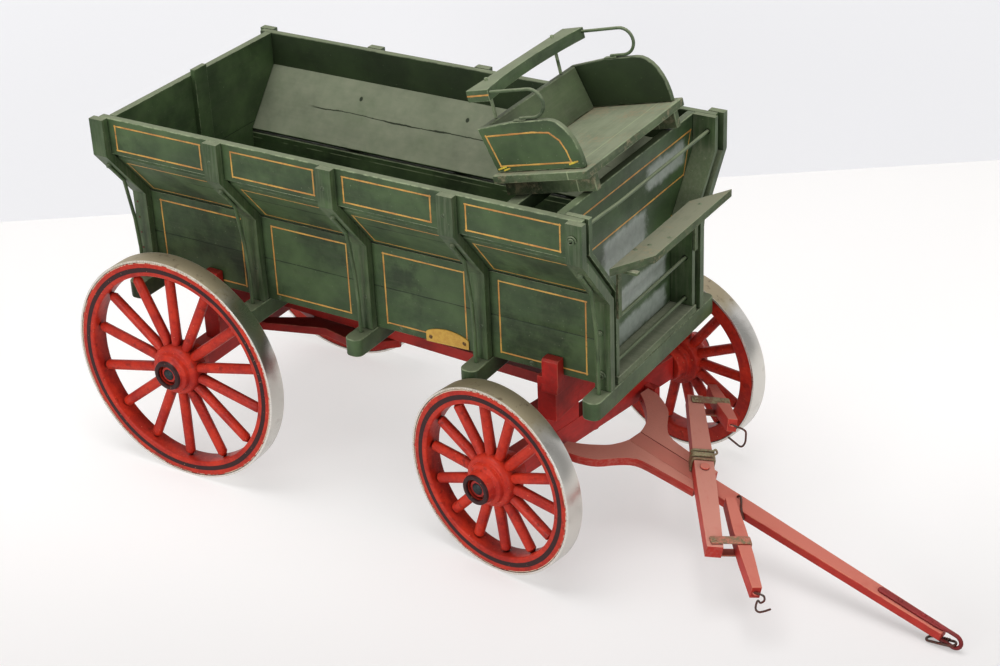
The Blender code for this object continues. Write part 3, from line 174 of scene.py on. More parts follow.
class Value:
    """A number that varies over a surface: it wraps an output socket, and sums add Math nodes."""

    def __init__(self, tree, socket):
        self.tree = tree
        self.socket = socket

    def math(self, operation, *others, clamp=False):
        node = self.tree.nodes.new("ShaderNodeMath")
        node.operation = operation
        node.use_clamp = clamp
        for socket, operand in zip(node.inputs, (self, *others)):
            plug(self.tree, socket, operand)
        return Value(self.tree, node.outputs[0])

    def __add__(self, other):
        return self.math("ADD", other)

    def __mul__(self, other):
        return self.math("MULTIPLY", other)

    def __sub__(self, other):
        return self.math("SUBTRACT", other)

    def __rsub__(self, other):
        return self.math("MULTIPLY_ADD", -1.0, other)

    __radd__ = __add__
    __rmul__ = __mul__

    def least(self, other):
        return self.math("MINIMUM", other)

    def most(self, other):
        return self.math("MAXIMUM", other)

    def between(self, low, high):
        """0 at low and below, 1 at high and above, with a smooth step between them."""
        node = self.tree.nodes.new("ShaderNodeMapRange")
        node.interpolation_type = "SMOOTHSTEP"
        plug(self.tree, node.inputs["Value"], self)
        plug(self.tree, node.inputs["From Min"], low)
        plug(self.tree, node.inputs["From Max"], high)
        return Value(self.tree, node.outputs["Result"])

    def near(self, centre, half_width, soft):
        """1 within half_width of a centre, falling to 0 over a soft edge."""
        distance = (self - centre).math("ABSOLUTE")
        return 1.0 - distance.between(half_width, half_width + soft)


class Finish:
    """A material in the making, around its Principled shader."""

    def __init__(self, name):
        self.material = bpy.data.materials.new(name)
        self.material.use_nodes = True
        self.tree = self.material.node_tree
        self.shader = self.tree.nodes["Principled BSDF"]
        self.place = self.node("TexCoord").outputs["Object"]

    def node(self, kind, settings=None, inputs=None):
        """Add any node: its settings come first, and then its inputs."""
        made = self.tree.nodes.new("ShaderNode" + kind)
        for key, value in (settings or {}).items():
            setattr(made, key, value)
        for key, value in (inputs or {}).items():
            plug(self.tree, made.inputs[key], value)
        return made

    def value(self, kind, settings=None, inputs=None, output=0):
        return Value(self.tree, self.node(kind, settings, inputs).outputs[output])

    def noise(self, size, detail=3.0, roughness=0.5, place=None):
        """Cloudy noise around 0.5, with clouds of a size in metres, or in the place's own units."""
        inputs = {"Vector": place or self.place, "Scale": 1.0 / size}
        return self.value("TexNoise", None, inputs | {"Detail": detail, "Roughness": roughness}, "Fac")

    def blend(self, share, first, second):
        """The first colour where share is 0 and the second where it is 1."""
        mix = self.node("Mix", {"data_type": "RGBA"}, {0: share, 6: first, 7: second})
        return mix.outputs[2]

    def attribute(self, name):
        return self.value("Attribute", {"attribute_name": name}, None, "Fac")

    def upness(self):
        """The z of the surface's normal."""
        facing = self.node("NewGeometry").outputs["Normal"]
        return self.value("SeparateXYZ", None, {0: facing}, "Z")

    def reach(self, direction, unit):
        """How far a point lies along a direction from the origin, in units that are given in metres."""
        scaled = tuple(float(part) / unit for part in direction)
        return self.value("VectorMath", {"operation": "DOT_PRODUCT"}, {0: self.place, 1: scaled}, "Value")

    def grained(self, along, up, length, width):
        """Object coordinates turned to a board's grain: a unit is a length along it, a width across."""
        across = np.cross(up, along)
        parts = {"X": self.reach(along, length), "Y": self.reach(across, width), "Z": self.reach(up, width)}
        return self.node("CombineXYZ", None, parts).outputs[0]

    def along(self, direction, origin=(0.0, 0.0, 0.0)):
        """Millimetres along a direction, from an origin that is given in metres."""
        return self.reach(direction, MM) - float(np.dot(direction, origin)) / MM

    def hidden(self, distance, low, high):
        """1 in corners and crevices that are narrower than a distance, 0 in the open."""
        open_air = self.value("AmbientOcclusion", {"samples": 6}, {"Distance": distance}, "AO")
        return (1.0 - open_air).between(low, high)

    def done(self, colour, roughness, height=None, strength=0.3, depth=0.0003, **constants):
        """Plug the colour, roughness and relief into the shader, and set its constants."""
        plug(self.tree, self.shader.inputs["Base Color"], colour)
        plug(self.tree, self.shader.inputs["Roughness"], roughness)
        for key, value in constants.items():
            plug(self.tree, self.shader.inputs[key.replace("_", " ")], value)
        if height is not None:
            bump = self.node("Bump", None, {"Strength": strength, "Distance": depth, "Height": height})
            plug(self.tree, self.shader.inputs["Normal"], bump.outputs[0])
        return self.material


def shade(red, green, blue):
    """A colour as the eye names it, 0 to 255, in the linear numbers that a shader takes."""
    share = np.array([red, green, blue]) / 255.0
    linear = np.where(share <= 0.04045, share / 12.92, ((share + 0.055) / 1.055) ** 2.4)
    return tuple(float(component) for component in linear)


# %% [markdown]
# ## Painted wood
# All the wood is brush-painted and old. The paint has clouds of tone and streaks along the grain,
# dust has settled on what faces up, painted shade darkens its corners and the inside of the box, and
# the edges are rubbed pale. Each of these is a mask, and the colour is blended from mask to mask: one
# recipe serves the green body and the red gear, and wear falls where it would on the real thing.


# %% The recipe for old paint on wood
X_AXIS = (1.0, 0.0, 0.0)
Y_AXIS = (0.0, 1.0, 0.0)
Z_AXIS = (0.0, 0.0, 1.0)
DOWN = (0.0, 0.0, -1.0)


def old_paint(name, tone, deep, dust, rubbed_and_highlit, grain, up=Z_AXIS, dusty=0.6, film=0.08, rubbing=0.7,
              gloss=0.42, smudged=0.6, seams=None, extra=None):
    """Paint that runs from tone to deep, with smudges, dust where it faces up, painted shade and worn edges.

    Streaks follow the grain. Dust is smoothstep(normal z) times noise; film is a thin veil of it that
    lies everywhere. Rubbed paint is the edge mark of the mesh times noise. Seams is a function that
    returns a mask of dark cracks, and extra one that lays more colour over the paint.
    """
    finish = Finish(name)
    streaks = finish.noise(1.0, 4.0, 0.6, finish.grained(grain, up, 0.03, 0.0022))
    clouds = finish.noise(0.03, 4.0, 0.55)
    speckle = finish.noise(0.006, 5.0, 0.65)
    patches = finish.noise(0.022, 3.0, 0.6)
    colour = finish.blend((clouds * 0.9 + streaks * 0.3 - 0.1).between(0.25, 0.75), tone, deep)
    # The dark tone of the painted shade in corners and inside, and of the real cracks.
    shade_and_crack_tone = tuple(component * 0.28 for component in deep)
    smudge = (finish.noise(0.05, 5.0, 0.6) + speckle * 0.2).between(0.56, 0.78)
    colour = finish.blend(smudge * smudged, colour, tuple(component * 0.55 for component in deep))

    settled = finish.upness().between(0.15, 0.85) * dusty * (patches * 0.9 + speckle * 0.5 + 0.25)
    veil = (settled + streaks.between(0.35, 0.8) * film).least(0.95)
    colour = finish.blend(veil, colour, dust)

    # Painted shade: ambient occlusion darkens the inside of the box, the corners and the crevices.
    inside = finish.hidden(0.09, 0.40, 0.95) * 0.55
    corner = finish.hidden(0.012, 0.30, 0.95) * 0.6 + finish.hidden(0.003, 0.35, 0.9) * 0.5
    colour = finish.blend(corner.most(inside).least(0.92), colour, shade_and_crack_tone)
    height = streaks * 0.4 + speckle * 0.4
    if seams:
        crack = seams(finish)
        colour = finish.blend(crack * 0.9, colour, shade_and_crack_tone)
        height = height - crack * 2.0

    wear = finish.attribute("edge") * (patches * 0.5 + speckle * 0.7 - 0.1).between(0.42, 0.58) * rubbing
    chips = finish.noise(0.0016, 2.0, 0.5).between(0.715, 0.75) * 0.5
    colour = finish.blend(wear.most(chips * rubbing), colour, rubbed_and_highlit)
    if extra:
        colour = extra(finish, colour)
    roughness = veil * 0.35 + speckle * 0.15 + (clouds - 0.5) * 0.2 + gloss - 0.05
    return finish.done(colour, roughness, height, 0.4, 0.0003, Specular_IOR_Level=0.28)


# %% [markdown]
# The boards are glued up from planks, and their joints have opened a little with age. The sides have
# one joint at half height, the flared boards a ragged crack and three screw holes, and the seat and
# both gates one joint each. Patches of painted glare lie on the front gate.

# %% Joints, cracks, painted glare, highlight and shade of single boards
FLARE_ANGLE = math.radians(39.2)
flare_up = np.array([math.sin(FLARE_ANGLE), math.cos(FLARE_ANGLE)])
FLARE_INNER_FOOT, FLARE_FOOT_LEVEL, FLARE_THICKNESS = 61.0, 213.3, 5.0
flare_foot = np.array([FLARE_INNER_FOOT + FLARE_THICKNESS * math.cos(FLARE_ANGLE), FLARE_FOOT_LEVEL])
POST_CENTRES = (6.25, 111.75, 211.08, 310.42, 409.75)
HOLE_RISE, HOLE_BEHIND_POST = 35.0, 4.8
CRACK_RISE = 24.2
CRACK_MIDDLE, CRACK_HALF_LENGTH = 200.0, 128.0
LEDGE_INNER_FACE, LEDGE_LEVEL = 61.2, 208.9
GATE_FRONT = 395.4
GATE_JOINT, TAIL_JOINT, SEAT_JOINT = 173.5, 222.0, 60.0
# Level, half height, middle and half width of each patch of painted glare, in millimetres.
GLARE_PATCHES = ((262.5, 6.5, 50, 24), (227, 12, -12, 26), (186, 6, 10, 34), (160, 6, 12, 32))
side_joint = sum(corner.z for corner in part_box("lower_side_left")) / 2 / MM


def level_joint(level):
    """A dark joint at a height, thin and thick by turns."""
    def joint(finish):
        wobble = (finish.noise(0.03, 3.0, 0.5) - 0.5) * 0.7
        open_here = finish.noise(0.02, 3.0, 0.6).between(0.3, 0.55)
        return (finish.along(Z_AXIS) + wobble).near(level, 0.2, 0.25) * (open_here * 0.6 + 0.4)
    return joint


def flare_crack(finish):
    """A ragged crack along the board, opened in places, and a screw hole by each inner post."""
    rise = finish.along(Z_AXIS) - FLARE_FOOT_LEVEL
    ahead = finish.along(X_AXIS, wagon.origin)
    wander = (finish.noise(0.09, 2.0, 0.5) - 0.5) * 5.0 + (finish.noise(0.006, 3.0, 0.6) - 0.5) * 1.2
    width = finish.noise(0.03, 2.0, 0.5).between(0.4, 0.7) * 0.45 + 0.12
    off = (rise + wander - CRACK_RISE).math("ABSOLUTE")
    crack = (1.0 - (off - width).between(0.0, 0.25)) * ahead.near(CRACK_MIDDLE, CRACK_HALF_LENGTH, 12.0)
    for centre in POST_CENTRES[1:4]:
        beside, over = ahead - (centre - HOLE_BEHIND_POST), rise - HOLE_RISE
        crack = crack.most(1.0 - (beside * beside + over * over).between(1.4, 3.2))
    return crack


def ledge_highlight(finish, colour):
    """A painted highlight: a pale line along the top inner edge of the side."""
    inside = finish.along(Y_AXIS).near(0.0, LEDGE_INNER_FACE, 0.6)
    # Noise breaks up the painted highlight, which takes the pale green of worn edges.
    rubbed_and_highlit = finish.noise(0.02, 3.0, 0.6).between(0.35, 0.55)
    line = finish.along(Z_AXIS).near(LEDGE_LEVEL, 0.2, 0.35) * rubbed_and_highlit * inside
    return finish.blend(line * 0.8, colour, GREEN_RUBBED_AND_HIGHLIGHT)


def gate_glare(finish, colour):
    """Painted glare in four ragged patches on the gate's front."""
    height, across = finish.along(Z_AXIS), finish.along(Y_AXIS)
    front = finish.along(X_AXIS, wagon.origin).between(GATE_FRONT, GATE_FRONT + 0.5)
    ragged = (finish.noise(0.012, 5.0, 0.7) - 0.5) * 22.0
    glare = front * 0.0
    for level, tall, middle, wide in GLARE_PATCHES:
        patch = (height + ragged * 0.4).near(level, tall, 5.0) * (across + ragged).near(middle, wide, 9.0)
        glare = glare.most(patch)
    cover = glare * front * (finish.noise(0.005, 4.0, 0.6) * 0.6 + 0.4)
    # Painted glare: a pale grey-green over the patches.
    return finish.blend(cover, colour, shade(170, 178, 170))


def painted_shade_within(node):
    """The inner faces of a board on the left and its twin on the right are darkened as painted shade."""
    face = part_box(node)[0].y / MM

    def shaded_inside(finish, colour):
        # Painted shade: a dark green laid over the inner faces.
        inside = finish.along(Y_AXIS).near(0.0, face + 0.2, 0.8)
        return finish.blend(inside * 0.6, colour, shade(34, 40, 26))
    return shaded_inside


def seat_dirt(finish, colour):
    """A pale joint near the seat's front, and brown crumbs of dirt in the corners and in patches."""
    ahead = finish.along(seat.x, seat.origin)
    joint = (ahead + (finish.noise(0.04, 2.0, 0.5) - 0.5) * 0.8).near(SEAT_JOINT, 0.25, 0.3)
    colour = finish.blend(joint * 0.7, colour, shade(166, 176, 138))
    crumbs = finish.noise(0.004, 5.0, 0.7) * 0.6 + finish.noise(0.03, 3.0, 0.6) * 0.4
    corner = finish.hidden(0.03, 0.25, 0.8) * 0.14
    return finish.blend((crumbs + corner).between(0.52, 0.62) * 0.65, colour, shade(152, 140, 112))


# %% Mix the paints of the body and the gear
GREEN = shade(78, 100, 62)
DEEP_GREEN = shade(50, 68, 42)
GREEN_DUST = shade(144, 150, 122)
# The pale green of worn edges, also used for the painted highlight on the side's inner ledge.
GREEN_RUBBED_AND_HIGHLIGHT = shade(146, 158, 124)
RED = shade(178, 42, 32)
DEEP_RED = shade(140, 26, 22)
RED_DUST = shade(204, 120, 104)
RED_RUBBED = shade(206, 122, 96)
BODY_DUST = shade(168, 92, 78)
POLE_RED = shade(204, 58, 44)
DEEP_POLE_RED = shade(168, 38, 32)
ARM_DUST = shade(222, 150, 132)


def green(name, grain, up=Z_AXIS, tone=GREEN, **more):
    return old_paint(name, tone, DEEP_GREEN, more.pop("dust", GREEN_DUST), GREEN_RUBBED_AND_HIGHLIGHT, grain, up, **more)


def red(name, grain, up=Z_AXIS, tone=RED, deep=DEEP_RED, dust=BODY_DUST, **more):
    return old_paint(name, tone, deep, dust, RED_RUBBED, grain, up, **more)


def pole_red(name, grain, up, dust=RED_DUST, film=0.08, **more):
    return old_paint(name, POLE_RED, DEEP_POLE_RED, dust, RED_RUBBED, grain, up, dusty=1.0, film=film,
                     gloss=0.5, smudged=0.25, **more)


def dusty_rear(finish, colour):
    """The rear of the pole is as dusty as the arms beside it."""
    ahead = finish.along(drawbar.x, doubletree.origin)
    return finish.blend((1.0 - ahead.between(-60.0, 40.0)) * 0.4, colour, ARM_DUST)


# Each paint stands beside the starts of the names of the boards that wear it.
board_paints = {
    ("cross_sill", "seat_cross_bar"): green("green_across", Y_AXIS),
    ("post", "front_cleat"): green("green_upright", Z_AXIS, X_AXIS, film=0.3, rubbing=0.9),
    ("upper_side",): green("green_upper", X_AXIS, rubbing=0.9, extra=painted_shade_within("upper_side_left")),
    ("seat_end",): green("green_seat_end", X_AXIS, rubbing=0.9, extra=painted_shade_within("seat_end_left")),
    ("lower_side",): green(
        "green_side", X_AXIS, smudged=0.9, seams=level_joint(side_joint), extra=ledge_highlight),
    ("flare_side",): green(
        "green_flare", X_AXIS, dusty=1.05, smudged=0.8, rubbing=0.3, gloss=0.55,
        dust=shade(140, 145, 122), seams=flare_crack),
    ("front_gate",): green(
        "green_gate", Y_AXIS, tone=shade(68, 92, 54), dusty=0.35, gloss=0.38,
        seams=level_joint(GATE_JOINT), extra=gate_glare),
    ("tail_gate",): green("green_tail", Y_AXIS, seams=level_joint(TAIL_JOINT)),
    ("seat_back", "lazy_back_rail"): green("green_seat", Y_AXIS, dusty=0.6, film=0.15, smudged=0.8),
    ("floor_board",): green(
        "dusty_green", X_AXIS, tone=shade(112, 126, 94), dust=shade(152, 156, 132), dusty=0.8,
        film=0.4, gloss=0.6),
    ("seat_board",): green(
        "seat_green", Y_AXIS, tone=shade(98, 114, 80), dust=shade(146, 152, 126), dusty=0.8,
        film=0.3, gloss=0.6, smudged=0.8, extra=seat_dirt),
    ("footboard",): green(
        "step_green", Y_AXIS, tone=shade(92, 108, 76), dust=shade(142, 142, 120), dusty=0.95,
        film=0.3, gloss=0.65, smudged=0.8, extra=seat_dirt),
    ("reach", "rear_hounds"): red("red_along", X_AXIS, dusty=0.3, rubbing=0.3),
    ("rear_axle", "rear_bolster", "front_bolster", "front_axle"): red(
        "red_across", Y_AXIS, tone=shade(206, 44, 36), dusty=0.2, rubbing=0.3),
    ("drawbar_pole",): pole_red("dusty_red", drawbar.x, drawbar.z, extra=dusty_rear),
    ("drawbar_arm",): pole_red("arm_red", drawbar.x, drawbar.z, ARM_DUST, 0.45),
    ("doubletree",): pole_red("tree_red", doubletree.y, doubletree.z, shade(208, 142, 126), 0.3),
    ("singletree",): pole_red("dusty_red_bars", doubletree.y, doubletree.z),
}
painted_wire = green("painted_wire", Y_AXIS, tone=shade(96, 114, 82), film=0.3, dusty=0.5, gloss=0.35)
painted_iron = red("painted_iron", drawbar.x, tone=shade(158, 36, 38), deep=shade(112, 24, 28),
                   dusty=0.1, smudged=1.0, rubbing=0.3)
print("paints:", len(bpy.data.materials))

# %% [markdown]
# ## Boards with worn edges
# A CAD board has knife-sharp edges, and no painted board has. A copy of each wooden node gets its
# loose triangles merged, its flat faces joined again, and its edges rounded. The faces that the
# rounding makes carry a mark, so that the paint knows where hands and loads have rubbed it.

# %% Copy a wooden node with rounded edges
# Joined faces with several holes in them don't survive the rounding, so these keep their triangles.
BORED_NODES = ("front_axle", "front_bolster", "rear_axle", "drawbar_arm", "upper_side")


def body_of(node):
    return next(body for body, nodes in frame["record"]["behaviour"]["bodies"].items() if node in nodes)


def shown(name, mesh, body, finish, replaced=()):
    """Put a mesh that is already in place into the scene, on its body and with its finish."""
    mesh.materials.clear()
    mesh.materials.append(finish)
    piece = bpy.data.objects.new(name, mesh)
    bpy.context.scene.collection.objects.link(piece)
    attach(piece, body)
    if replaced:
        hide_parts(*replaced)
    return piece


def worn_board(node, finish, rounding, sharp):
    """The node's shape with each outer edge sharper than an angle rounded by a width in millimetres."""
    solid = bmesh.new()
    solid.from_mesh(frame["nodes"][node].data)
    bmesh.ops.remove_doubles(solid, verts=solid.verts, dist=1e-6)
    if not node.startswith(BORED_NODES):
        bmesh.ops.dissolve_limit(
            solid, angle_limit=math.radians(0.6), verts=solid.verts, edges=solid.edges,
            use_dissolve_boundaries=False)
    mark = solid.faces.layers.float.new("edge")
    limit = math.radians(sharp)
    edges = [edge for edge in solid.edges if edge.is_manifold and edge.calc_face_angle_signed(0.0) > limit]
    made = bmesh.ops.bevel(
        solid, geom=edges, offset=rounding * MM, segments=2 if rounding < 1.0 else 4, profile=0.5,
        affect="EDGES", clamp_overlap=True)
    for face in made["faces"]:
        face[mark] = 1.0
    mesh = bpy.data.meshes.new(f"{node}_worn")
    solid.to_mesh(mesh)
    solid.free()
    mesh.shade_smooth()
    mesh.set_sharp_from_angle(angle=math.radians(40.0))
    piece = shown(f"{node}_worn", mesh, body_of(node), finish, (node,))
    piece.modifiers.new("even shading", "WEIGHTED_NORMAL").keep_sharp = True


# %% Dress the boards
ROUNDING, SHARP = 0.7, 35.0
ROUNDINGS = {"singletree": 2.6, "doubletree": 1.2, "lower_side": 0.5, "flare_side": 0.5}
SHARPS = {"lower_side": 50.0}
for node in frame["nodes"]:
    for starts, finish in board_paints.items():
        if node.startswith(starts):
            worn_board(node, finish, ROUNDINGS.get(starts[0], ROUNDING), SHARPS.get(starts[0], SHARP))

# %% [markdown]
# ## Surfaces from formulas
# Wheels, screws and hooks are turned, drawn or bent, and each such shape is a function of two
# parameters: a profile going round an axis, or a circle carried along a path. The helpers work out
# the whole grid of points at once with numpy, and the mesh is built from it in one step.


# %% Grids, turned shapes and bent wires
def grid(points, wrap_rows=False, wrap_columns=False):
    """A shell of quads between the neighbours of a grid of points; a wrap closes it on itself."""
    rows, columns = points.shape[:2]
    index = np.arange(rows * columns).reshape(rows, columns)
    if wrap_rows:
        index = np.vstack([index, index[:1]])
    if wrap_columns:
        index = np.hstack([index, index[:, :1]])
    corners = (index[:-1, :-1], index[:-1, 1:], index[1:, 1:], index[1:, :-1])
    return points.reshape(-1, 3), np.stack(corners, axis=-1).reshape(-1, 4)


def eased(corners, radius, steps=4, closed=True):
    """A line with rounded corners: near each corner it runs on a parabola that the corner pulls."""
    corners = np.asarray(corners, float)
    to_before = np.roll(corners, 1, axis=0) - corners
    to_after = np.roll(corners, -1, axis=0) - corners
    radius = np.broadcast_to(np.asarray(radius, float), len(corners))[:, None]
    start = corners + to_before * np.minimum(radius / np.linalg.norm(to_before, axis=1)[:, None], 0.48)
    end = corners + to_after * np.minimum(radius / np.linalg.norm(to_after, axis=1)[:, None], 0.48)
    share = np.linspace(0.0, 1.0, steps)[None, :, None]
    first, middle, last = start[:, None], corners[:, None], end[:, None]
    curve = (1 - share) ** 2 * first + 2 * share * (1 - share) * middle + share ** 2 * last
    if closed:
        return curve.reshape(-1, corners.shape[1])
    inner = curve[1:-1].reshape(-1, corners.shape[1])
    return np.vstack([corners[:1], inner, corners[-1:]])


def turned(profile, steps=64, ring=False):
    """A profile of (radius, height) going round the Z axis: x = r cos a, y = r sin a, z = height."""
    angle = np.arange(steps) * math.tau / steps
    radius, height = np.asarray(profile, float).T[:, :, None]
    points = np.stack([radius * np.cos(angle), radius * np.sin(angle), height + 0.0 * angle], axis=-1)
    return grid(points, wrap_rows=ring, wrap_columns=True)


def bent(path, radius, side=(0.0, 0.0, 1.0), closed=False, steps=12, flat=1.0, square=1.0):
    """A wire: a circle carried along a path, square to it. The radius may change along the path.

    Each circle's first direction is the side direction made square to the path, and the second is
    square to both. Flat stretches the circle along the first, and square below 1 turns it into a
    rounded oblong. Open ends close in a dome.
    """
    path = np.asarray(path, float)
    radius = np.broadcast_to(np.asarray(radius, float), len(path)).copy()
    if closed:
        tangent = np.roll(path, -1, axis=0) - np.roll(path, 1, axis=0)
    else:
        tangent = np.gradient(path, axis=0)
    tangent /= np.linalg.norm(tangent, axis=1)[:, None]
    if not closed:
        lift = np.radians([90.0, 60.0, 30.0])
        head = path[0] - tangent[0] * radius[0] * np.sin(lift)[:, None]
        tail = path[-1] + tangent[-1] * radius[-1] * np.sin(lift[::-1])[:, None]
        path = np.vstack([head, path, tail])
        tangent = np.vstack([np.repeat(tangent[:1], 3, axis=0), tangent, np.repeat(tangent[-1:], 3, axis=0)])
        radius = np.concatenate([radius[0] * np.cos(lift), radius, radius[-1] * np.cos(lift[::-1])])
    first = np.asarray(side, float) - tangent * (tangent @ np.asarray(side, float))[:, None]
    first /= np.linalg.norm(first, axis=1)[:, None]
    second = np.cross(tangent, first)
    angle = np.arange(steps) * math.tau / steps
    wide, high = (np.sign(part) * np.abs(part) ** square for part in (np.cos(angle), np.sin(angle)))
    circle = flat * wide[None, :, None] * first[:, None] + high[None, :, None] * second[:, None]
    return grid(path[:, None] + circle * radius[:, None, None], wrap_rows=closed, wrap_columns=True)


def made_of(name, shells, place, marks=None):
    """One mesh of several closed shells, carried from their own frame to the wagon's.

    Marks is a function of the points, still in their own frame, that returns named values for them.
    """
    starts = np.cumsum([0] + [len(points) for points, _ in shells[:-1]])
    points = np.vstack([points for points, _ in shells])
    faces = np.vstack([faces + start for (_, faces), start in zip(shells, starts)])
    mesh = bpy.data.meshes.new(name)
    mesh.from_pydata(points.tolist(), [], faces.tolist())
    solid = bmesh.new()
    solid.from_mesh(mesh)
    bmesh.ops.remove_doubles(solid, verts=solid.verts, dist=1e-4)
    bmesh.ops.recalc_face_normals(solid, faces=solid.faces)
    solid.to_mesh(mesh)
    solid.free()
    kept = points_of(mesh)
    for key, values in (marks(kept) if marks else {}).items():
        attribute = mesh.attributes.new(key, "FLOAT", "POINT")
        attribute.data.foreach_set("value", np.asarray(values, np.float32))
    mesh.vertices.foreach_set("co", place(kept).astype(np.float32).ravel())
    mesh.shade_smooth()
    mesh.set_sharp_from_angle(angle=math.radians(35.0))
    mesh.update()
    return mesh


def fitting(name, shells, place, body, finish, replaced=(), marks=None):
    """A piece made of shells, put into the scene."""
    return shown(name, made_of(name, shells, place, marks), body, finish, replaced)


def set_at(shell, point, facing):
    """The shell carried so that its Z axis faces a direction from a point."""
    points, faces = shell
    facing = np.asarray(facing, float) / np.linalg.norm(facing)
    level = (1.0, 0.0, 0.0) if abs(facing[2]) > 0.9 else (0.0, 0.0, 1.0)
    aside = np.cross(level, facing)
    aside /= np.linalg.norm(aside)
    return np.asarray(point, float) + points @ np.stack([aside, np.cross(facing, aside), facing]), faces


def screw_head(radius, turn=0.0):
    """A slotted round head on chords of a disc: z = 0.3 r (1 - (x² + y²) / r²), less a groove along X."""
    edges = radius * np.array([0.12, 0.15, 0.35, 0.6, 0.8, 0.93, 1.0])
    y = np.concatenate([-edges[::-1], edges])[:, None]
    x = np.linspace(-1.0, 1.0, 9) * np.sqrt(radius ** 2 - y ** 2)
    groove = 0.25 * radius * (np.abs(y) < 0.13 * radius)
    dome = 0.3 * radius * (1.0 - (x ** 2 + y ** 2) / radius ** 2) - groove
    top = np.stack([x, y + 0.0 * x, dome], axis=-1)
    under = np.stack([x[:, ::-1], y + 0.0 * x, 0.0 * x - 0.5], axis=-1)
    points = np.concatenate([top, under], axis=1)
    cosine, sine = math.cos(turn), math.sin(turn)
    points = points @ np.array([[cosine, sine, 0.0], [-sine, cosine, 0.0], [0.0, 0.0, 1.0]])
    return grid(points, wrap_columns=True)


def knob(radius, height, sink=0.5):
    """A domed head that is a little flat on top."""
    return turned([(0.0, height), (radius * 0.55, height * 0.9), (radius * 0.9, height * 0.5),
                   (radius, 0.0), (radius, -sink), (0.0, -sink)], 16)


def coil(radius, wire, turns, rise):
    """A flat knot of wire: a spiral that closes in while it rises, (r cos a, r sin a, rise a)."""
    angle = np.linspace(0.0, turns * math.tau, int(turns * 14))
    share = angle / angle[-1]
    reach = radius * (1.0 - 0.65 * share)
    path = np.stack([reach * np.cos(angle), reach * np.sin(angle), rise * share], axis=1)
    return bent(path, wire, steps=8)


# %% [markdown]
# ## Wheels
# A wheel is a bent felloe, fourteen turned spokes and a turned hub, painted together, with a metal
# tyre shrunk on. The hub's profile has a barrel, a shoulder and a nose with a pocket for the axle's
# end, all with eased corners. A spoke is a round bar that thins toward the felloe and grows a little
# deeper at the hub. Every point of the wood remembers how far it is from the rim and from the end of
# the nose, and the paint uses that for the dark line on the felloe and the ring round the nose.

# %% Wheel shapes
TYRE_HALF_WIDTH = 8.0
TYRE_THICKNESS = 1.8
FIT = 0.3
FELLOE_HALF_WIDTH = 7.6
FELLOE_DEPTH = 11.4
SPOKES = 14
SPOKE_ROOT = 14.5
AXLE_BORE = 5.4
random = np.random.default_rng(7)


def felloe(rim):
    """A ring of rectangular section with eased edges, more on its inner side."""
    inner = rim - FELLOE_DEPTH
    half = FELLOE_HALF_WIDTH
    profile = eased([(inner, -half), (rim, -half), (rim, half), (inner, half)], (1.6, 0.5, 0.5, 1.6))
    return turned(profile, 168, ring=True)


def hub(nose_end):
    """Barrel, shoulders and nose, as a closed profile that goes round the axle."""
    corners = [
        (AXLE_BORE, -20.0), (12.4, -20.0), (13.0, -13.2), (15.5, -12.6), (15.5, -8.5), (20.3, -8.0),
        (20.5, 6.0), (18.6, 8.6), (15.9, 8.8), (15.6, 12.6), (13.2, 13.2), (12.6, 13.6),
        (11.4, nose_end), (8.2, nose_end), (8.0, nose_end - 5.5), (AXLE_BORE, nose_end - 5.5),
    ]
    radii = (0.6, 1.0, 0.5, 0.8, 0.6, 1.2, 2.2, 1.2, 0.6, 1.0, 0.6, 0.5, 0.7, 0.7, 0.4, 0.4)
    return turned(eased(corners, radii, 5), 96, ring=True)


def spoke(angle, rim):
    """A bar along the radius: its half width and half depth shrink from the hub to the felloe."""
    reach = np.linspace(0.0, 1.0, 12)[:, None]
    along = SPOKE_ROOT + reach * (rim - FELLOE_DEPTH + 2.0 - SPOKE_ROOT)
    around = np.arange(16) * math.tau / 16
    grown = np.exp(-reach * 7.0)
    across = (4.3 - 0.3 * reach - 0.5 * grown) * np.cos(around)
    deep = (4.1 - 0.5 * reach + 0.9 * grown) * np.sin(around)
    ends = (np.sin(np.pi * np.clip(far * 60.0, 0.0, 0.5)) for far in (reach, 1 - reach))
    closing = np.prod(np.broadcast_arrays(*ends), axis=0)
    x, y, z = along + 0.0 * around, across * closing, deep * closing
    cosine, sine = math.cos(angle), math.sin(angle)
    return grid(np.stack([x * cosine - y * sine, x * sine + y * cosine, z], axis=-1), wrap_columns=True)


def tyre(radius):
    """A band of eased rectangular section."""
    inner = radius - TYRE_THICKNESS
    half = TYRE_HALF_WIDTH
    profile = eased([(inner, -half), (radius, -half), (radius, half), (inner, half)], 0.45, 3)
    return turned(profile, 192, ring=True)
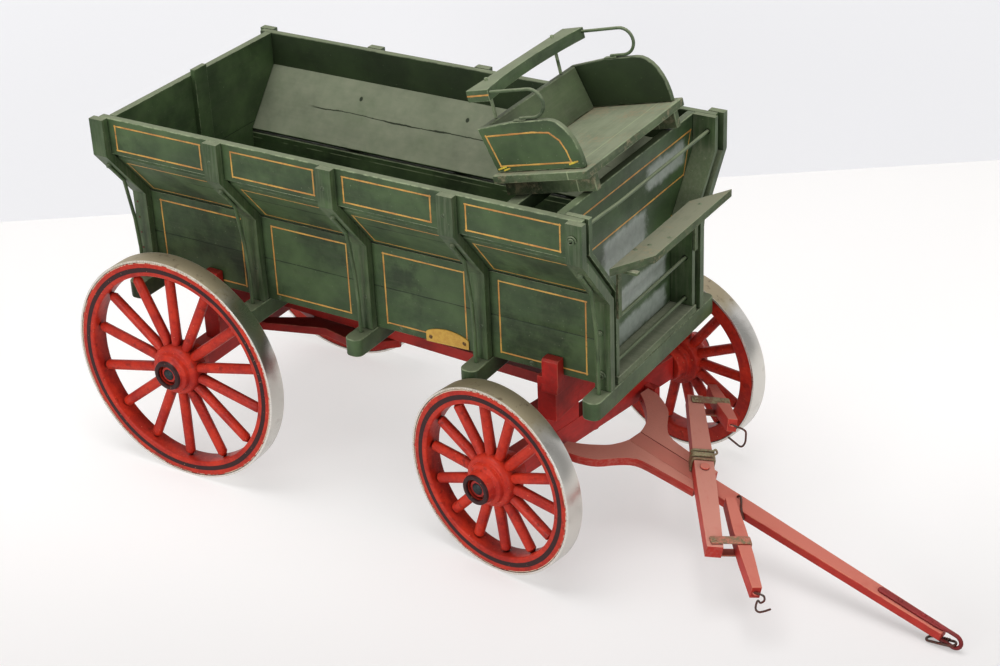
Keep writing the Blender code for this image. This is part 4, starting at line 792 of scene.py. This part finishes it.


# %% [markdown]
# The wheels' vermilion is brighter than the red of the gear, and its chips show pale wood along the
# rim. The tyres are polished steel: bright and finely brushed round the band, and painted darker and
# rougher on top, as painted shade in place of a dark reflection.


# %% Paint for the wheels and metal for the tyres
def wheel_paint(name):
    """Vermilion with a dark line round the felloe, a dark nose, and chips along the rim."""
    finish = Finish(name)
    from_rim, from_nose, axial = (finish.attribute(mark) for mark in ("from_rim", "from_nose", "axial"))
    clouds = finish.noise(0.02, 4.0, 0.6)
    speckle = finish.noise(0.003, 4.0, 0.65)
    tone = (clouds + speckle * 0.5 - 0.25).between(0.3, 0.75)
    colour = finish.blend(tone, shade(204, 54, 32), shade(162, 32, 24))
    dust = finish.upness().between(0.3, 1.0) * clouds.between(0.3, 0.7) * 0.1
    colour = finish.blend(dust, colour, shade(186, 98, 76))
    mottle = finish.noise(0.007, 4.0, 0.65).between(0.56, 0.7) * 0.45
    # Painted shade darkens the corners, and random dark mottling of the paint shares the same dark red.
    corner = finish.hidden(0.012, 0.35, 0.95) * 0.65 + finish.hidden(0.003, 0.3, 0.9) * 0.5
    colour = finish.blend(corner.most(mottle).least(0.9), colour, shade(66, 18, 14))
    wobble = (finish.noise(0.05, 2.0, 0.5) - 0.5) * 1.1
    outer_face = axial.between(7.0, 7.2)
    line = (from_rim + wobble).near(5.8, 1.75, 0.25) * outer_face
    nose = from_nose.between(-2.1, -1.7)
    colour = finish.blend(line.most(nose) * 0.96, colour, shade(24, 9, 12))
    chipped = speckle * 0.7 + clouds * 0.5
    rim_edge = from_rim.near(0.0, 0.5, 0.4) * outer_face
    colour = finish.blend(rim_edge * chipped.between(0.52, 0.62) * 0.9, colour, shade(236, 214, 188))
    chips = finish.noise(0.0016, 2.0, 0.5).between(0.72, 0.75)
    colour = finish.blend(chips * 0.6, colour, shade(232, 160, 120))
    return finish.done(colour, speckle * 0.2 + 0.34, speckle, 0.3, 0.0002, Specular_IOR_Level=0.25)


def tyre_metal(name):
    """Brushed steel, with painted shade on top, stains mostly there, and scratched shoulders."""
    finish = Finish(name)
    upness, turn, axial = (finish.attribute(mark) for mark in ("upness", "turn", "axial"))
    patches = finish.noise(0.016, 5.0, 0.65)
    round_and_across = finish.node("CombineXYZ", None, {"X": turn * 0.3, "Y": axial}).outputs[0]
    scratches = finish.noise(0.22, 3.0, 0.7, round_and_across)
    # Painted shade: the top of the band is darker and rougher, standing in for a dark reflection.
    top_shade = (upness.between(0.55, 1.0) * 0.9 + patches * 0.6 - 0.3).between(0.2, 0.7)
    colour = finish.blend(top_shade, shade(208, 205, 198), shade(176, 164, 138))
    stains = finish.noise(0.008, 4.0, 0.65).between(0.55, 0.7) * (top_shade * 0.5 + 0.15)
    colour = finish.blend(stains, colour, shade(92, 68, 50))
    shoulder = axial.math("ABSOLUTE").between(7.2, 7.8) * (scratches.between(0.4, 0.6) * 0.7 + 0.2)
    colour = finish.blend(shoulder, colour, shade(226, 222, 214))
    roughness = top_shade * 0.35 + scratches * 0.2 + 0.18
    return finish.done(colour, roughness, scratches, 0.15, 0.0001, Metallic=1.0)


wheel_red = wheel_paint("wheel_red")
tyre_steel = tyre_metal("tyre_steel")

# %% Build the four wheels
# Radius, height of the nose's end, side, and turn of the first spoke in spokes.
wheels = {
    "rear_left": (92.5, 17.0, 1, 0.5),
    "rear_right": (92.5, 17.0, -1, 0.5),
    "front_left": (73.5, 22.0, 1, 0.0),
    "front_right": (73.5, 22.0, -1, 0.8),
}


def wheel_place(name, side):
    """The frame of a wheel: its Z points outward along the axle."""
    outward = joint_axis(f"wheel_{name}_spin") * side
    return Place(joint_point(f"wheel_{name}_spin"), np.cross((0, 0, 1), outward), outward)


for name, (radius, nose_end, side, phase) in wheels.items():
    rim = radius - TYRE_THICKNESS - FIT
    spins = (np.arange(SPOKES) + phase) * math.tau / SPOKES + random.normal(0.0, 0.006, SPOKES)
    shells = [felloe(rim), hub(nose_end)] + [spoke(angle, rim) for angle in spins]

    def wood_marks(points):
        distance = np.hypot(points[:, 0], points[:, 1])
        return {"from_rim": rim - distance, "from_nose": points[:, 2] - nose_end, "axial": points[:, 2]}

    def tyre_marks(points):
        angle = np.arctan2(points[:, 1], points[:, 0])
        return {"upness": points[:, 1] / radius, "turn": angle * radius, "axial": points[:, 2]}

    centre, body = wheel_place(name, side), f"wheel_{name}"
    wood = fitting(f"{body}_wood", shells, centre, body, wheel_red, (body,), wood_marks)
    band = fitting(f"tyre_{name}_band", [tyre(radius)], centre, body, tyre_steel,
                   (f"tyre_{name}",), tyre_marks)
    print(name, len(wood.data.polygons), "faces of wood,", len(band.data.polygons), "of tyre")

# %% [markdown]
# ## Painted lines
# A striper pulls a long thin brush round each panel, and the line stands a hair above the ground
# colour. It could be drawn by a shader, but a dozen panels on each side would need a mask each.
# Here each line is a flat bead of paint: a thin oval carried along the panel's outline.

# %% Lines round the panels
LINE_HALF_WIDTH = 0.56
LINE_PROUD = 0.07


def stroke(start, end, out):
    """One pull of the brush: a bead whose width wavers a little, and which runs a hair past its ends."""
    start, end = np.asarray(start, float), np.asarray(end, float)
    share = np.linspace(0.0, 1.0, 24)[:, None]
    overrun = (end - start) / np.linalg.norm(end - start) * random.uniform(0.0, 0.7, 2)[:, None]
    path = (start - overrun[0]) * (1 - share) + (end + overrun[1]) * share
    width = LINE_HALF_WIDTH * (1.0 + 0.12 * np.sin(share[:, 0] * 17.0 + random.uniform(0.0, 6.0)))
    return bent(path, width, side=out, steps=8, flat=LINE_PROUD / LINE_HALF_WIDTH)


def striped(corners, out, closed=True):
    """Strokes from corner to corner of a panel whose outward direction is given."""
    ends = list(corners[1:]) + list(corners[:1])
    strokes = [stroke(start, end, out) for start, end in zip(corners, ends)]
    return strokes if closed else strokes[:-1]


def panel(x_range, low, high):
    """Four corners of a panel between two lines that run along X, each given as (y, z)."""
    return [(x_range[0], *low), (x_range[1], *low), (x_range[1], *high), (x_range[0], *high)]


UPPER_FACE, UPPER_LINES = 102.5, (261.6, 281.0)
LOWER_FACE, LOWER_LINES = 66.0, (149.9, 206.7)
FLARE_LINES = (3.6, 43.0)
UPPER_BAYS = ((18.6, 97.6), (125.7, 197.6), (223.0, 295.0), (323.3, 396.1))
LOWER_BAYS = ((21.5, 97.5), (126.8, 194.2), (226.9, 295.5), (324.1, 393.7))
lines = []
for side in (1, -1):
    for upper, lower in zip(UPPER_BAYS, LOWER_BAYS):
        for bay, face, levels in ((upper, UPPER_FACE, UPPER_LINES), (lower, LOWER_FACE, LOWER_LINES)):
            low, high = ((side * face, level) for level in levels)
            lines += striped(panel(bay, low, high), (0, side, 0))
        low, high = (flare_foot + flare_up * reach for reach in FLARE_LINES)
        flare = panel((upper[0] - 1.5, upper[1] - 0.5), (side * low[0], low[1]), (side * high[0], high[1]))
        lines += striped(flare, (0, side * math.cos(FLARE_ANGLE), -math.sin(FLARE_ANGLE)))

GATE_FACE = 396.3
UPPER_GATE_PANEL = ((-89, 274.8), (89, 274.8), (78, 244.0), (-78, 244.0))
LOWER_GATE_LINES = (((-58.4, 150.0), (-58.4, 219.0)), ((58.4, 150.0), (58.4, 219.0)))
lines += striped([(GATE_FACE, y, z) for y, z in UPPER_GATE_PANEL], X_AXIS)
for start, end in LOWER_GATE_LINES:
    lines.append(stroke((GATE_FACE, *start), (GATE_FACE, *end), X_AXIS))


# %% Lines on the seat
SEAT_END_FACE = 66.0
SEAT_END_LINE = (
    (6.0, 4.8), (62.5, 4.8), (60.6, 13.1), (57.2, 20.6), (50.2, 26.4), (37.4, 27.4), (-0.2, 26.6))
RAIL_END_LINE = ((-6.4, 55.6), (9.6, 55.6))
seat_lines = []
for side in (1, -1):
    seat_lines += striped([(x, side * SEAT_END_FACE, z) for x, z in SEAT_END_LINE], (0, side, 0))
    start, end = ((x, side * SEAT_END_FACE, z) for x, z in RAIL_END_LINE)
    seat_lines.append(stroke(start, end, (0, side, 0)))
# Four slips of the yellow brush on the near end: x, z and length of each.
SLIPS = ((4.0, 2.7, 5.0), (8.0, 1.8, 4.0), (61.0, 3.6, 6.0), (63.5, 4.4, 3.5))
slips = []
y = -SEAT_END_FACE - 0.1
for x, z, length in SLIPS:
    slips.append(stroke((x, y, z), (x + length, y, z + 0.25 * length), (0, -1, 0)))


# %% Paint of the lines
def line_paint(name, bright, brown):
    """Line paint from bright to brown, thin enough in places for the green to show."""
    finish = Finish(name)
    clouds = finish.noise(0.012, 4.0, 0.6)
    thin = finish.noise(0.003, 3.0, 0.6)
    colour = finish.blend(clouds.between(0.35, 0.65), bright, brown)
    colour = finish.blend(thin.between(0.58, 0.72) * 0.6, colour, shade(112, 92, 50))
    return finish.done(colour, 0.5)


ochre = line_paint("ochre_line", shade(214, 164, 74), shade(188, 128, 58))
yellow = line_paint("yellow_slips", shade(226, 204, 62), shade(196, 160, 52))
for name, strokes, place, paint in (
        ("pinstripes", lines, wagon, ochre), ("seat_pinstripes", seat_lines, seat, ochre),
        ("seat_slips", slips, seat, yellow)):
    piece = fitting(name, strokes, place, "box", paint)
    print(name, len(strokes), "strokes with", len(piece.data.polygons), "faces")

# %% [markdown]
# ## Rods and irons
# Three wire rods tie the sides together across the front. Where the upper and the lower one come out of
# the posts, their ends are twisted into a knot of wire. The back rail's irons are bent wires with a
# foot beaten flat. All of them are wires along a path, painted over with the wood.

# %% Tie rods
ROD_X = 408.5
ROD_RADIUS = 1.3
UPPER_POST_FACE = 108.8
LOWER_POST_FACE = 72.3


def rod_height(name):
    low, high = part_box(f"tie_rod_{name}")
    return (low.z + high.z) / 2 / MM


def rod_path(name, half_length, bow=0.0):
    """A rod across the box, z = height + bow exp(-((y + 80) / 25)²), with its small kink near one end."""
    y = np.linspace(-half_length, half_length, 60)
    z = rod_height(name) + bow * np.exp(-((y + 80.0) / 25.0) ** 2)
    return np.stack([0.0 * y + ROD_X, y, z], axis=1)


for name, post_face, bow in (("upper", UPPER_POST_FACE, 1.6), ("middle", LOWER_POST_FACE, 0.0),
                             ("lower", LOWER_POST_FACE, 0.4)):
    shells = [bent(rod_path(name, post_face + 0.8, bow), ROD_RADIUS)]
    for side in (1, -1):
        end = (ROD_X, side * (post_face + 0.6), rod_height(name))
        knot = knob(1.9, 0.8) if name == "middle" else coil(3.4, 0.7, turns=1.6, rise=1.4)
        shells.append(set_at(knot, end, (0, side, 0)))
    fitting(f"rod_{name}", shells, wagon, "box", painted_wire, (f"tie_rod_{name}",))

# %% Irons of the back rail
IRON_TOP, IRON_FOOT, IRON_SIDE = 56.85, 37.05, 63.75
IRON_START, IRON_BEND, IRON_END = 10.5, 40.5, 29.8
PAD_START, PAD_END, PAD_SCREW, PAD_LEVEL = 24.5, 34.0, 26.6, 35.95
for side, name in ((1, "left"), (-1, "right")):
    y = side * IRON_SIDE
    middle, half = (IRON_TOP + IRON_FOOT) / 2, (IRON_TOP - IRON_FOOT) / 2
    turn = np.radians(np.linspace(90.0, -90.0, 15))
    bend = np.stack([IRON_BEND + half * np.cos(turn), 0.0 * turn + y, middle + half * np.sin(turn)], axis=1)
    wire = np.vstack([(IRON_START, y, IRON_TOP), bend, (IRON_END, y, IRON_FOOT)])
    pad = [(PAD_START, y, PAD_LEVEL), (PAD_END, y, PAD_LEVEL)]
    shells = [bent(wire, 1.2, side=Y_AXIS), bent(pad, 0.55, side=Y_AXIS, flat=3.8, square=0.6),
              set_at(screw_head(1.4, 0.7), (PAD_SCREW, y, PAD_LEVEL + 0.45), Z_AXIS)]
    fitting(f"back_iron_{name}", shells, seat, "box", painted_wire, (f"lazy_back_iron_{name}",))

# %% [markdown]
# The pole ends in a strap that runs out into a loop, with a long ring in it. Thin straps clasp the
# singletrees, a wire binds the doubletree, and hooks hang in the singletrees' eyes. Iron that was
# left bare has gone greenish brown, so it gets a finish of its own with blooms of rust.


# %% Bare iron
def old_metal(name, tone, stain, metallic, gloss=0.35):
    """Metal with stains in patches and painted shade in its corners."""
    finish = Finish(name)
    patches = finish.noise(0.006, 5.0, 0.65)
    fine = finish.noise(0.0015, 4.0, 0.6)
    colour = finish.blend((patches * 0.7 + fine * 0.4).between(0.45, 0.65), tone, stain)
    # Painted shade darkens the corners and crevices.
    colour = finish.blend(finish.hidden(0.004, 0.3, 0.9) * 0.7, colour, shade(26, 20, 16))
    return finish.done(colour, patches * 0.3 + gloss, fine, 0.4, 0.0002, Metallic=metallic)


olive_iron = old_metal("olive_iron", shade(140, 132, 98), shade(128, 92, 70), 0.35)
dark_iron = old_metal("dark_iron", shade(78, 66, 58), shade(96, 46, 36), 0.6)
pink_iron = old_metal("pink_iron", shade(186, 112, 92), shade(120, 108, 78), 0.2, 0.45)
brass_plate = old_metal("brass_plate", shade(206, 164, 68), shade(196, 150, 60), 0.2, 0.3)
plate_iron = old_metal("plate_iron", shade(122, 88, 40), shade(84, 56, 34), 0.3)
cap_iron = old_metal("cap_iron", shade(44, 56, 58), shade(30, 34, 36), 0.5)

# %% Iron of the pole and its ring
STRAP_START, STRAP_END, STRAP_LEVEL = 243.8, 296.5, 4.6
STRAP_RIVETS = (258.9, 277.8)
LOOP_START, LOOP_CENTRE, LOOP_RADIUS = 286.0, 303.5, 5.24
turn = np.radians(np.linspace(90.0, -90.0, 17))
tip = np.stack([LOOP_CENTRE + LOOP_RADIUS * np.cos(turn), 0.0 * turn, LOOP_RADIUS * np.sin(turn)], axis=1)
rise = [(LOOP_START, 0, STRAP_LEVEL + 0.3), (LOOP_START + 8.0, 0, LOOP_RADIUS)]
loop = np.vstack([rise, tip, (LOOP_START, 0, -LOOP_RADIUS)])
strap = np.linspace((STRAP_START, 0.0, STRAP_LEVEL), (STRAP_END, 0.0, STRAP_LEVEL), 20)
strap_width = 2.7 * (1.0 - 0.4 * np.clip(np.linspace(-6.0, 1.0, 20), 0.0, 1.0))
shells = [bent(strap, strap_width, flat=0.3, square=0.5, steps=16), bent(loop, 1.5, side=Y_AXIS)]
for x in STRAP_RIVETS:
    shells.append(set_at(knob(1.9, 1.5), (x, 0.0, 5.2), Z_AXIS))
    shells.append(set_at(knob(1.5, 1.4), (x, 0.0, -3.5), DOWN))
fitting("pole_end_iron", shells, drawbar, "drawbar", painted_iron, replaced=("pole_iron",))

RING_TILT = math.radians(23.0)
RING_END, RING_LENGTH = 3.2, 22.0
ring_x = drawbar.x * math.cos(RING_TILT) + drawbar.z * math.sin(RING_TILT)
ring_place = Place(joint_point("ring_swing"), ring_x, np.cross(ring_x, joint_axis("ring_swing")))
turn = np.radians(np.arange(-90.0, 91.0, 15.0))
front = np.stack([RING_END * np.cos(turn) - RING_END, RING_END * np.sin(turn), 0.0 * turn], axis=1)
back = np.array([-RING_LENGTH, 0.0, 0.0]) - front
shells = [bent(np.vstack([front, back]), 0.95, closed=True)]
turn = np.linspace(0.0, 4.0 * math.tau, 60)
twist = np.stack([-6.0 - 0.28 * turn, 2.0 + 1.7 * np.cos(turn), 1.7 * np.sin(turn)], axis=1)
shells.append(bent(twist, 0.6, side=X_AXIS, steps=8))
fitting("pole_end_ring", shells, ring_place, "pole_ring", dark_iron, replaced=("pole_ring",))

# %% Clips, bindings and hooks of the trees
CLIP_TOP, CLIP_BOTTOM, CLIP_HALF = 14.6, 2.8, 0.6
CLIP_NEAR, CLIP_FAR = -2.8, 25.7
CLIP_RIVETS = (0.0, 20.5)


def clip_shells():
    """A strap bent round the singletree and back to the doubletree, with rivets through both."""
    corners = [(x, 0, z) for z in (CLIP_TOP, CLIP_BOTTOM) for x in (CLIP_NEAR, CLIP_FAR)]
    path = eased([corners[0], corners[1], corners[3], corners[2]], 1.6, 5, closed=False)
    runs = [np.linspace(first, last, 8)[:-1] for first, last in zip(path[:-1], path[1:])]
    strap = bent(np.vstack(runs + [path[-1:]]), CLIP_HALF, side=Y_AXIS, flat=6.2, square=0.5, steps=16)
    rivets = []
    for x in CLIP_RIVETS:
        rivets.append(set_at(knob(1.7, 0.9), (x, 0.0, CLIP_TOP + CLIP_HALF), Z_AXIS))
        rivets.append(set_at(knob(1.7, 0.9), (x, 0.0, CLIP_BOTTOM - CLIP_HALF), DOWN))
    return [strap] + rivets


def smooth_path(corners, steps=6):
    """A soft curve through a few points: a Catmull-Rom spline."""
    points = np.asarray(corners, float)
    padded = np.vstack([2 * points[0] - points[1], points, 2 * points[-1] - points[-2]])
    share = np.linspace(0.0, 1.0, steps, endpoint=False)[:, None]
    pieces = []
    for before, start, end, after in zip(padded, padded[1:], padded[2:], padded[3:]):
        pieces.append(0.5 * (2 * start + (end - before) * share
                             + (2 * before - 5 * start + 4 * end - after) * share ** 2
                             + (3 * start - before - 3 * end + after) * share ** 3))
    return np.vstack(pieces + [points[-1:]])


def tree_place(name):
    """The frame of a singletree's pin: its X runs through the middle of the clip."""
    pin = joint_point(f"singletree_{name}_swing")
    return Place(pin, tree_points[name].mean(axis=0) - pin, drawbar_z)


tree_points = {name: points_of(frame["nodes"][f"singletree_{name}"].data) for name in ("right", "left")}
for name, iron in (("right", pink_iron), ("left", olive_iron)):
    fitting(f"clip_{name}", clip_shells(), tree_place(name), f"singletree_{name}", iron)

TREE_SECTION = ((-8.0, 2.9), (8.0, 2.9), (8.0, 14.5), (-8.0, 14.5))
BINDING_TURNS = 5
BINDING_TAIL = (
    (7.6, 18.0, 14.6), (9.5, 19.5, 15.0), (10.5, 17.0, 14.4), (9.0, 14.5, 14.8), (5.0, 12.0, 14.9))
wound = np.tile(eased(TREE_SECTION, 1.6, 4), (BINDING_TURNS, 1))
advance = np.arange(len(wound)) / len(wound)
along = 7.0 + 11.5 * advance + 0.9 * np.sin(advance * 23.0)
binding = np.stack([wound[:, 0], along, wound[:, 1]], axis=1)
tail = smooth_path(BINDING_TAIL)
shells = [bent(binding, 1.05, side=Y_AXIS, steps=8), bent(tail, 0.8, steps=8)]
fitting("doubletree_binding", shells, doubletree, "doubletree", olive_iron)

# %% Hooks in the eyes and the staple on the pole
def eye_of(name, place):
    """The middle of the eye at the near end of a singletree, in millimetres of its pin's frame."""
    local = place.local(tree_points[name])
    return local[local[:, 1] < local[:, 1].min() + 2.5].mean(axis=0)


NEAR_HOOK = (
    (-1.0, 0.8, 1.2), (1.5, -1.0, 1.8), (4.6, -1.8, 0.6), (5.6, -2.2, -3.0), (3.4, -2.2, -5.2),
    (1.2, -2.2, -3.2), (0.6, -2.3, -7.0), (1.2, -2.6, -11.0), (3.6, -3.0, -13.0), (7.0, -3.0, -12.4),
    (11.0, -3.0, -10.4))
FAR_HOOK = (
    (-1.0, 0.8, 0.8), (3.0, -1.0, 1.0), (7.0, -1.6, 0.0), (10.0, -2.0, -2.0), (11.0, -2.3, -6.5),
    (11.4, -2.6, -11.5), (10.2, -3.0, -14.8), (8.0, -3.0, -15.2), (3.0, -3.0, -11.5), (-1.5, -2.6, -8.2))
for name, bends in (("right", NEAR_HOOK), ("left", FAR_HOOK)):
    place = tree_place(name)
    hook = bent(smooth_path(np.array(bends) + eye_of(name, place)), 0.75, side=Y_AXIS, steps=10)
    fitting(f"trace_hook_{name}", [hook], place, f"singletree_{name}", dark_iron)

STAPLE = (
    (118.4, 3.0, 3.2), (119.6, 2.6, 5.6), (122.2, 1.2, 6.3), (124.4, -1.0, 5.0), (126.6, -4.0, 4.3),
    (130.0, -7.6, 3.4), (133.0, -8.3, -1.0))
staple = bent(smooth_path(STAPLE), 0.8, side=Y_AXIS, steps=10)
fitting("pole_staple", [staple], drawbar, "drawbar", dark_iron)

# %% [markdown]
# ## Screws, plates and knobs
# Small fittings are what make a board look built. Slotted heads hold the sides, the posts and the
# footboard, and were painted over with them. Two screws hold an arched plate of yellow metal where a
# turning front wheel would rub. A knob ends each brace rod, and dark caps end the axles in the hubs.

# %% Screws and knobs of the box
SIDE_SCREWS, SIDE_SCREW_LEVEL = (30.0, 128.0, 238.1, 349.2), 147.0
LOWER_POST_SCREW, UPPER_POST_SCREW = 171.0, 272.0
BRACE_END, BRACE_LEVEL = 101.0, 246.4
FOOTBOARD_SCREWS = ((418.3, -39.2), (423.6, -28.5), (425.3, 45.8), (430.5, -12.0))
footboard_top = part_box("footboard")[1].z / MM
screws = []
for side in (1, -1):
    out = (0, side, 0)
    for x in SIDE_SCREWS:
        screws.append(set_at(screw_head(1.9, x), (x, side * LOWER_FACE, SIDE_SCREW_LEVEL), out))
    for x in POST_CENTRES[1:4]:
        lower, upper = side * LOWER_POST_FACE, side * UPPER_POST_FACE
        screws.append(set_at(screw_head(1.7, x), (x + 2.0, lower, LOWER_POST_SCREW), out))
        screws.append(set_at(screw_head(1.7, 2 * x), (x - 1.0, upper, UPPER_POST_SCREW), out))
    for x in POST_CENTRES:
        screws.append(set_at(knob(2.0, 2.2, 2.0), (x, side * BRACE_END, BRACE_LEVEL), (0, side, -0.6)))
for x, y in FOOTBOARD_SCREWS:
    screws.append(set_at(screw_head(1.8, x + y), (x, y, footboard_top), Z_AXIS))
fitting("screw_heads", screws, wagon, "box", painted_wire)

nails = []
for side in (1, -1):
    for z in np.arange(152.0, 206.0, 13.0):
        nails.append(set_at(knob(0.9, 0.4), (3.5, side * LOWER_POST_FACE, z), (0, side, 0)))
fitting("post_nails", nails, wagon, "box", dark_iron)
print(len(screws), "screws and knobs,", len(nails), "nails")


# %% Rub plates
PLATE_FACE = LOWER_FACE + 0.9
PLATE_START, PLATE_LENGTH = 261.0, 36.3
PLATE_FOOT, PLATE_SHOULDER, PLATE_ARCH = 143.6, 151.6, 4.8
PLATE_SCREWS = ((264.8, 147.8), (293.6, 149.0))


def rub_plate(side):
    """The plate over x: nearly straight below, and shoulder + arch sin(pi share)^0.7 above."""
    share = np.linspace(0.0, 1.0, 40)
    low = PLATE_FOOT + 0.9 * share
    high = PLATE_SHOULDER + PLATE_ARCH * np.sin(np.pi * share) ** 0.7
    x = PLATE_START + PLATE_LENGTH * share
    ease, back = 0.3, LOWER_FACE - 0.3
    loop = [(low, back), (low, PLATE_FACE - ease), (low + ease, PLATE_FACE), (high - ease, PLATE_FACE),
            (high, PLATE_FACE - ease), (high, back)]
    points = np.stack([np.stack([x, side * y + 0.0 * x, z], axis=1) for z, y in loop], axis=1)
    start, end = (row.mean(axis=1, keepdims=True) + 0.0 * row for row in (points[:1], points[-1:]))
    return grid(np.concatenate([start, points, end]), wrap_columns=True)


plates = [rub_plate(side) for side in (1, -1)]
plate_screws = []
for side in (1, -1):
    for x, z in PLATE_SCREWS:
        plate_screws.append(set_at(screw_head(1.7, 3 * x), (x, side * PLATE_FACE, z), (0, side, 0)))
fitting("rub_plates", plates, wagon, "box", brass_plate)
fitting("rub_plate_screws", plate_screws, wagon, "box", plate_iron)

# %% Ends of the axles
CAP_PROFILE = np.array([(0.0, 1.5), (2.4, 1.2), (4.2, 0.5), (4.9, -0.3), (4.9, -1.0), (0.0, -1.0)])
for name, (radius, nose_end, side, phase) in wheels.items():
    cap = turned(CAP_PROFILE + (0.0, nose_end - 2.8), 24)
    body = "box" if name.startswith("rear") else "steering"
    fitting(f"axle_cap_{name}", [cap], wheel_place(name, side), body, cap_iron)

# %% [markdown]
# ## Floor, backdrop and light
# The wagon stands on white paper in front of a pale grey wall. One broad soft lamp hangs over it,
# and two stand in front and on the near side. To the camera the paper and the wall also glow with a
# shade of their own, which keeps the background pale, and the paper still takes the wagon's shadow.


# %% Lay the paper and hang the wall
VIEW_HEADING = np.array([math.cos(CAMERA_YAW), math.sin(CAMERA_YAW), 0.0])
NEAR_PAPER, FAR_PAPER = -350.0, 150.0


def paper(name, own, lit):
    """A lit surface that also glows with its own near and far shades, to the camera and in gloss.

    From behind it is clear, so that the wall doesn't hide the wagon from the other side.
    """
    finish = Finish(name)
    finish.done(lit, 0.9, Specular_IOR_Level=0.0)
    seen, mirrored, through = (
        finish.value("LightPath", output=f"Is {kind} Ray") for kind in ("Camera", "Glossy", "Transmission"))
    near, far = own
    depth = finish.along(VIEW_HEADING).between(NEAR_PAPER, FAR_PAPER)
    surface = finish.shader.outputs[0]
    glow = finish.node("Emission", None, {"Color": finish.blend(depth, near, far)}).outputs[0]
    both = finish.node("AddShader", None, {0: surface, 1: glow}).outputs[0]
    shows = finish.node("MixShader", None, {0: seen.most(mirrored).most(through), 1: surface, 2: both})
    behind = finish.node("NewGeometry").outputs["Backfacing"]
    clear = finish.node("BsdfTransparent").outputs[0]
    front_only = finish.node("MixShader", None, {0: behind, 1: shows.outputs[0], 2: clear})
    plug(finish.tree, finish.tree.nodes["Material Output"].inputs["Surface"], front_only.outputs[0])
    return finish.material


def flat_sheet(name, start, run, rise, finish):
    """A rectangle from a corner, with two of its sides."""
    mesh = bpy.data.meshes.new(name)
    mesh.from_pydata([start, start + run, start + run + rise, start + rise], [], [(0, 1, 2, 3)])
    mesh.materials.append(finish)
    sheet = bpy.data.objects.new(name, mesh)
    bpy.context.scene.collection.objects.link(sheet)


PAPER_SHADES = ((0.35, 0.34, 0.335), (0.60, 0.59, 0.58))
WALL_SHADE = (0.67, 0.67, 0.69)
FLOOR_REACH = 6.0
white_paper = paper("white_paper", PAPER_SHADES, (0.50, 0.49, 0.49))
grey_wall = paper("grey_wall", (WALL_SHADE, WALL_SHADE), (0.28, 0.28, 0.28))
flat_sheet("floor", Vector((-FLOOR_REACH, -FLOOR_REACH, 0)), Vector((2 * FLOOR_REACH, 0, 0)),
           Vector((0, 2 * FLOOR_REACH, 0)), white_paper)

# Two points where the wall meets the floor at the picture's edges.
wall_left, wall_right = Vector((-0.720, 0.162, 0.0)), Vector((0.106, 0.735, 0.0))
half_run = (wall_right - wall_left).normalized() * 4.0
flat_sheet("wall", (wall_left + wall_right) / 2 - half_run, 2 * half_run, Vector((0, 0, 3.0)), grey_wall)


# %% Set the lights
def lamp(name, place, target, size, power):
    """A large square lamp that faces a point."""
    data = bpy.data.lights.new(name, "AREA")
    data.shape = "SQUARE"
    data.size = size
    data.energy = power
    made = bpy.data.objects.new(name, data)
    bpy.context.scene.collection.objects.link(made)
    made.location = place
    made.rotation_euler = (Vector(target) - Vector(place)).to_track_quat("-Z", "Y").to_euler()


ROOM_LIGHT = 0.35
world = bpy.data.worlds.new("studio")
world.use_nodes = True
background = world.node_tree.nodes["Background"]
background.inputs["Color"].default_value = (1.0, 1.0, 1.0, 1.0)
background.inputs["Strength"].default_value = ROOM_LIGHT
bpy.context.scene.world = world
lamp("overhead", (-0.3, -0.1, 2.4), (0.0, 0.0, 0.1), 1.8, 46.0)
lamp("front", (2.3, -0.7, 0.75), (0.0, 0.0, 0.15), 1.2, 17.0)
lamp("near_side", (-0.5, -2.3, 0.55), (0.0, 0.0, 0.15), 1.0, 20.0)
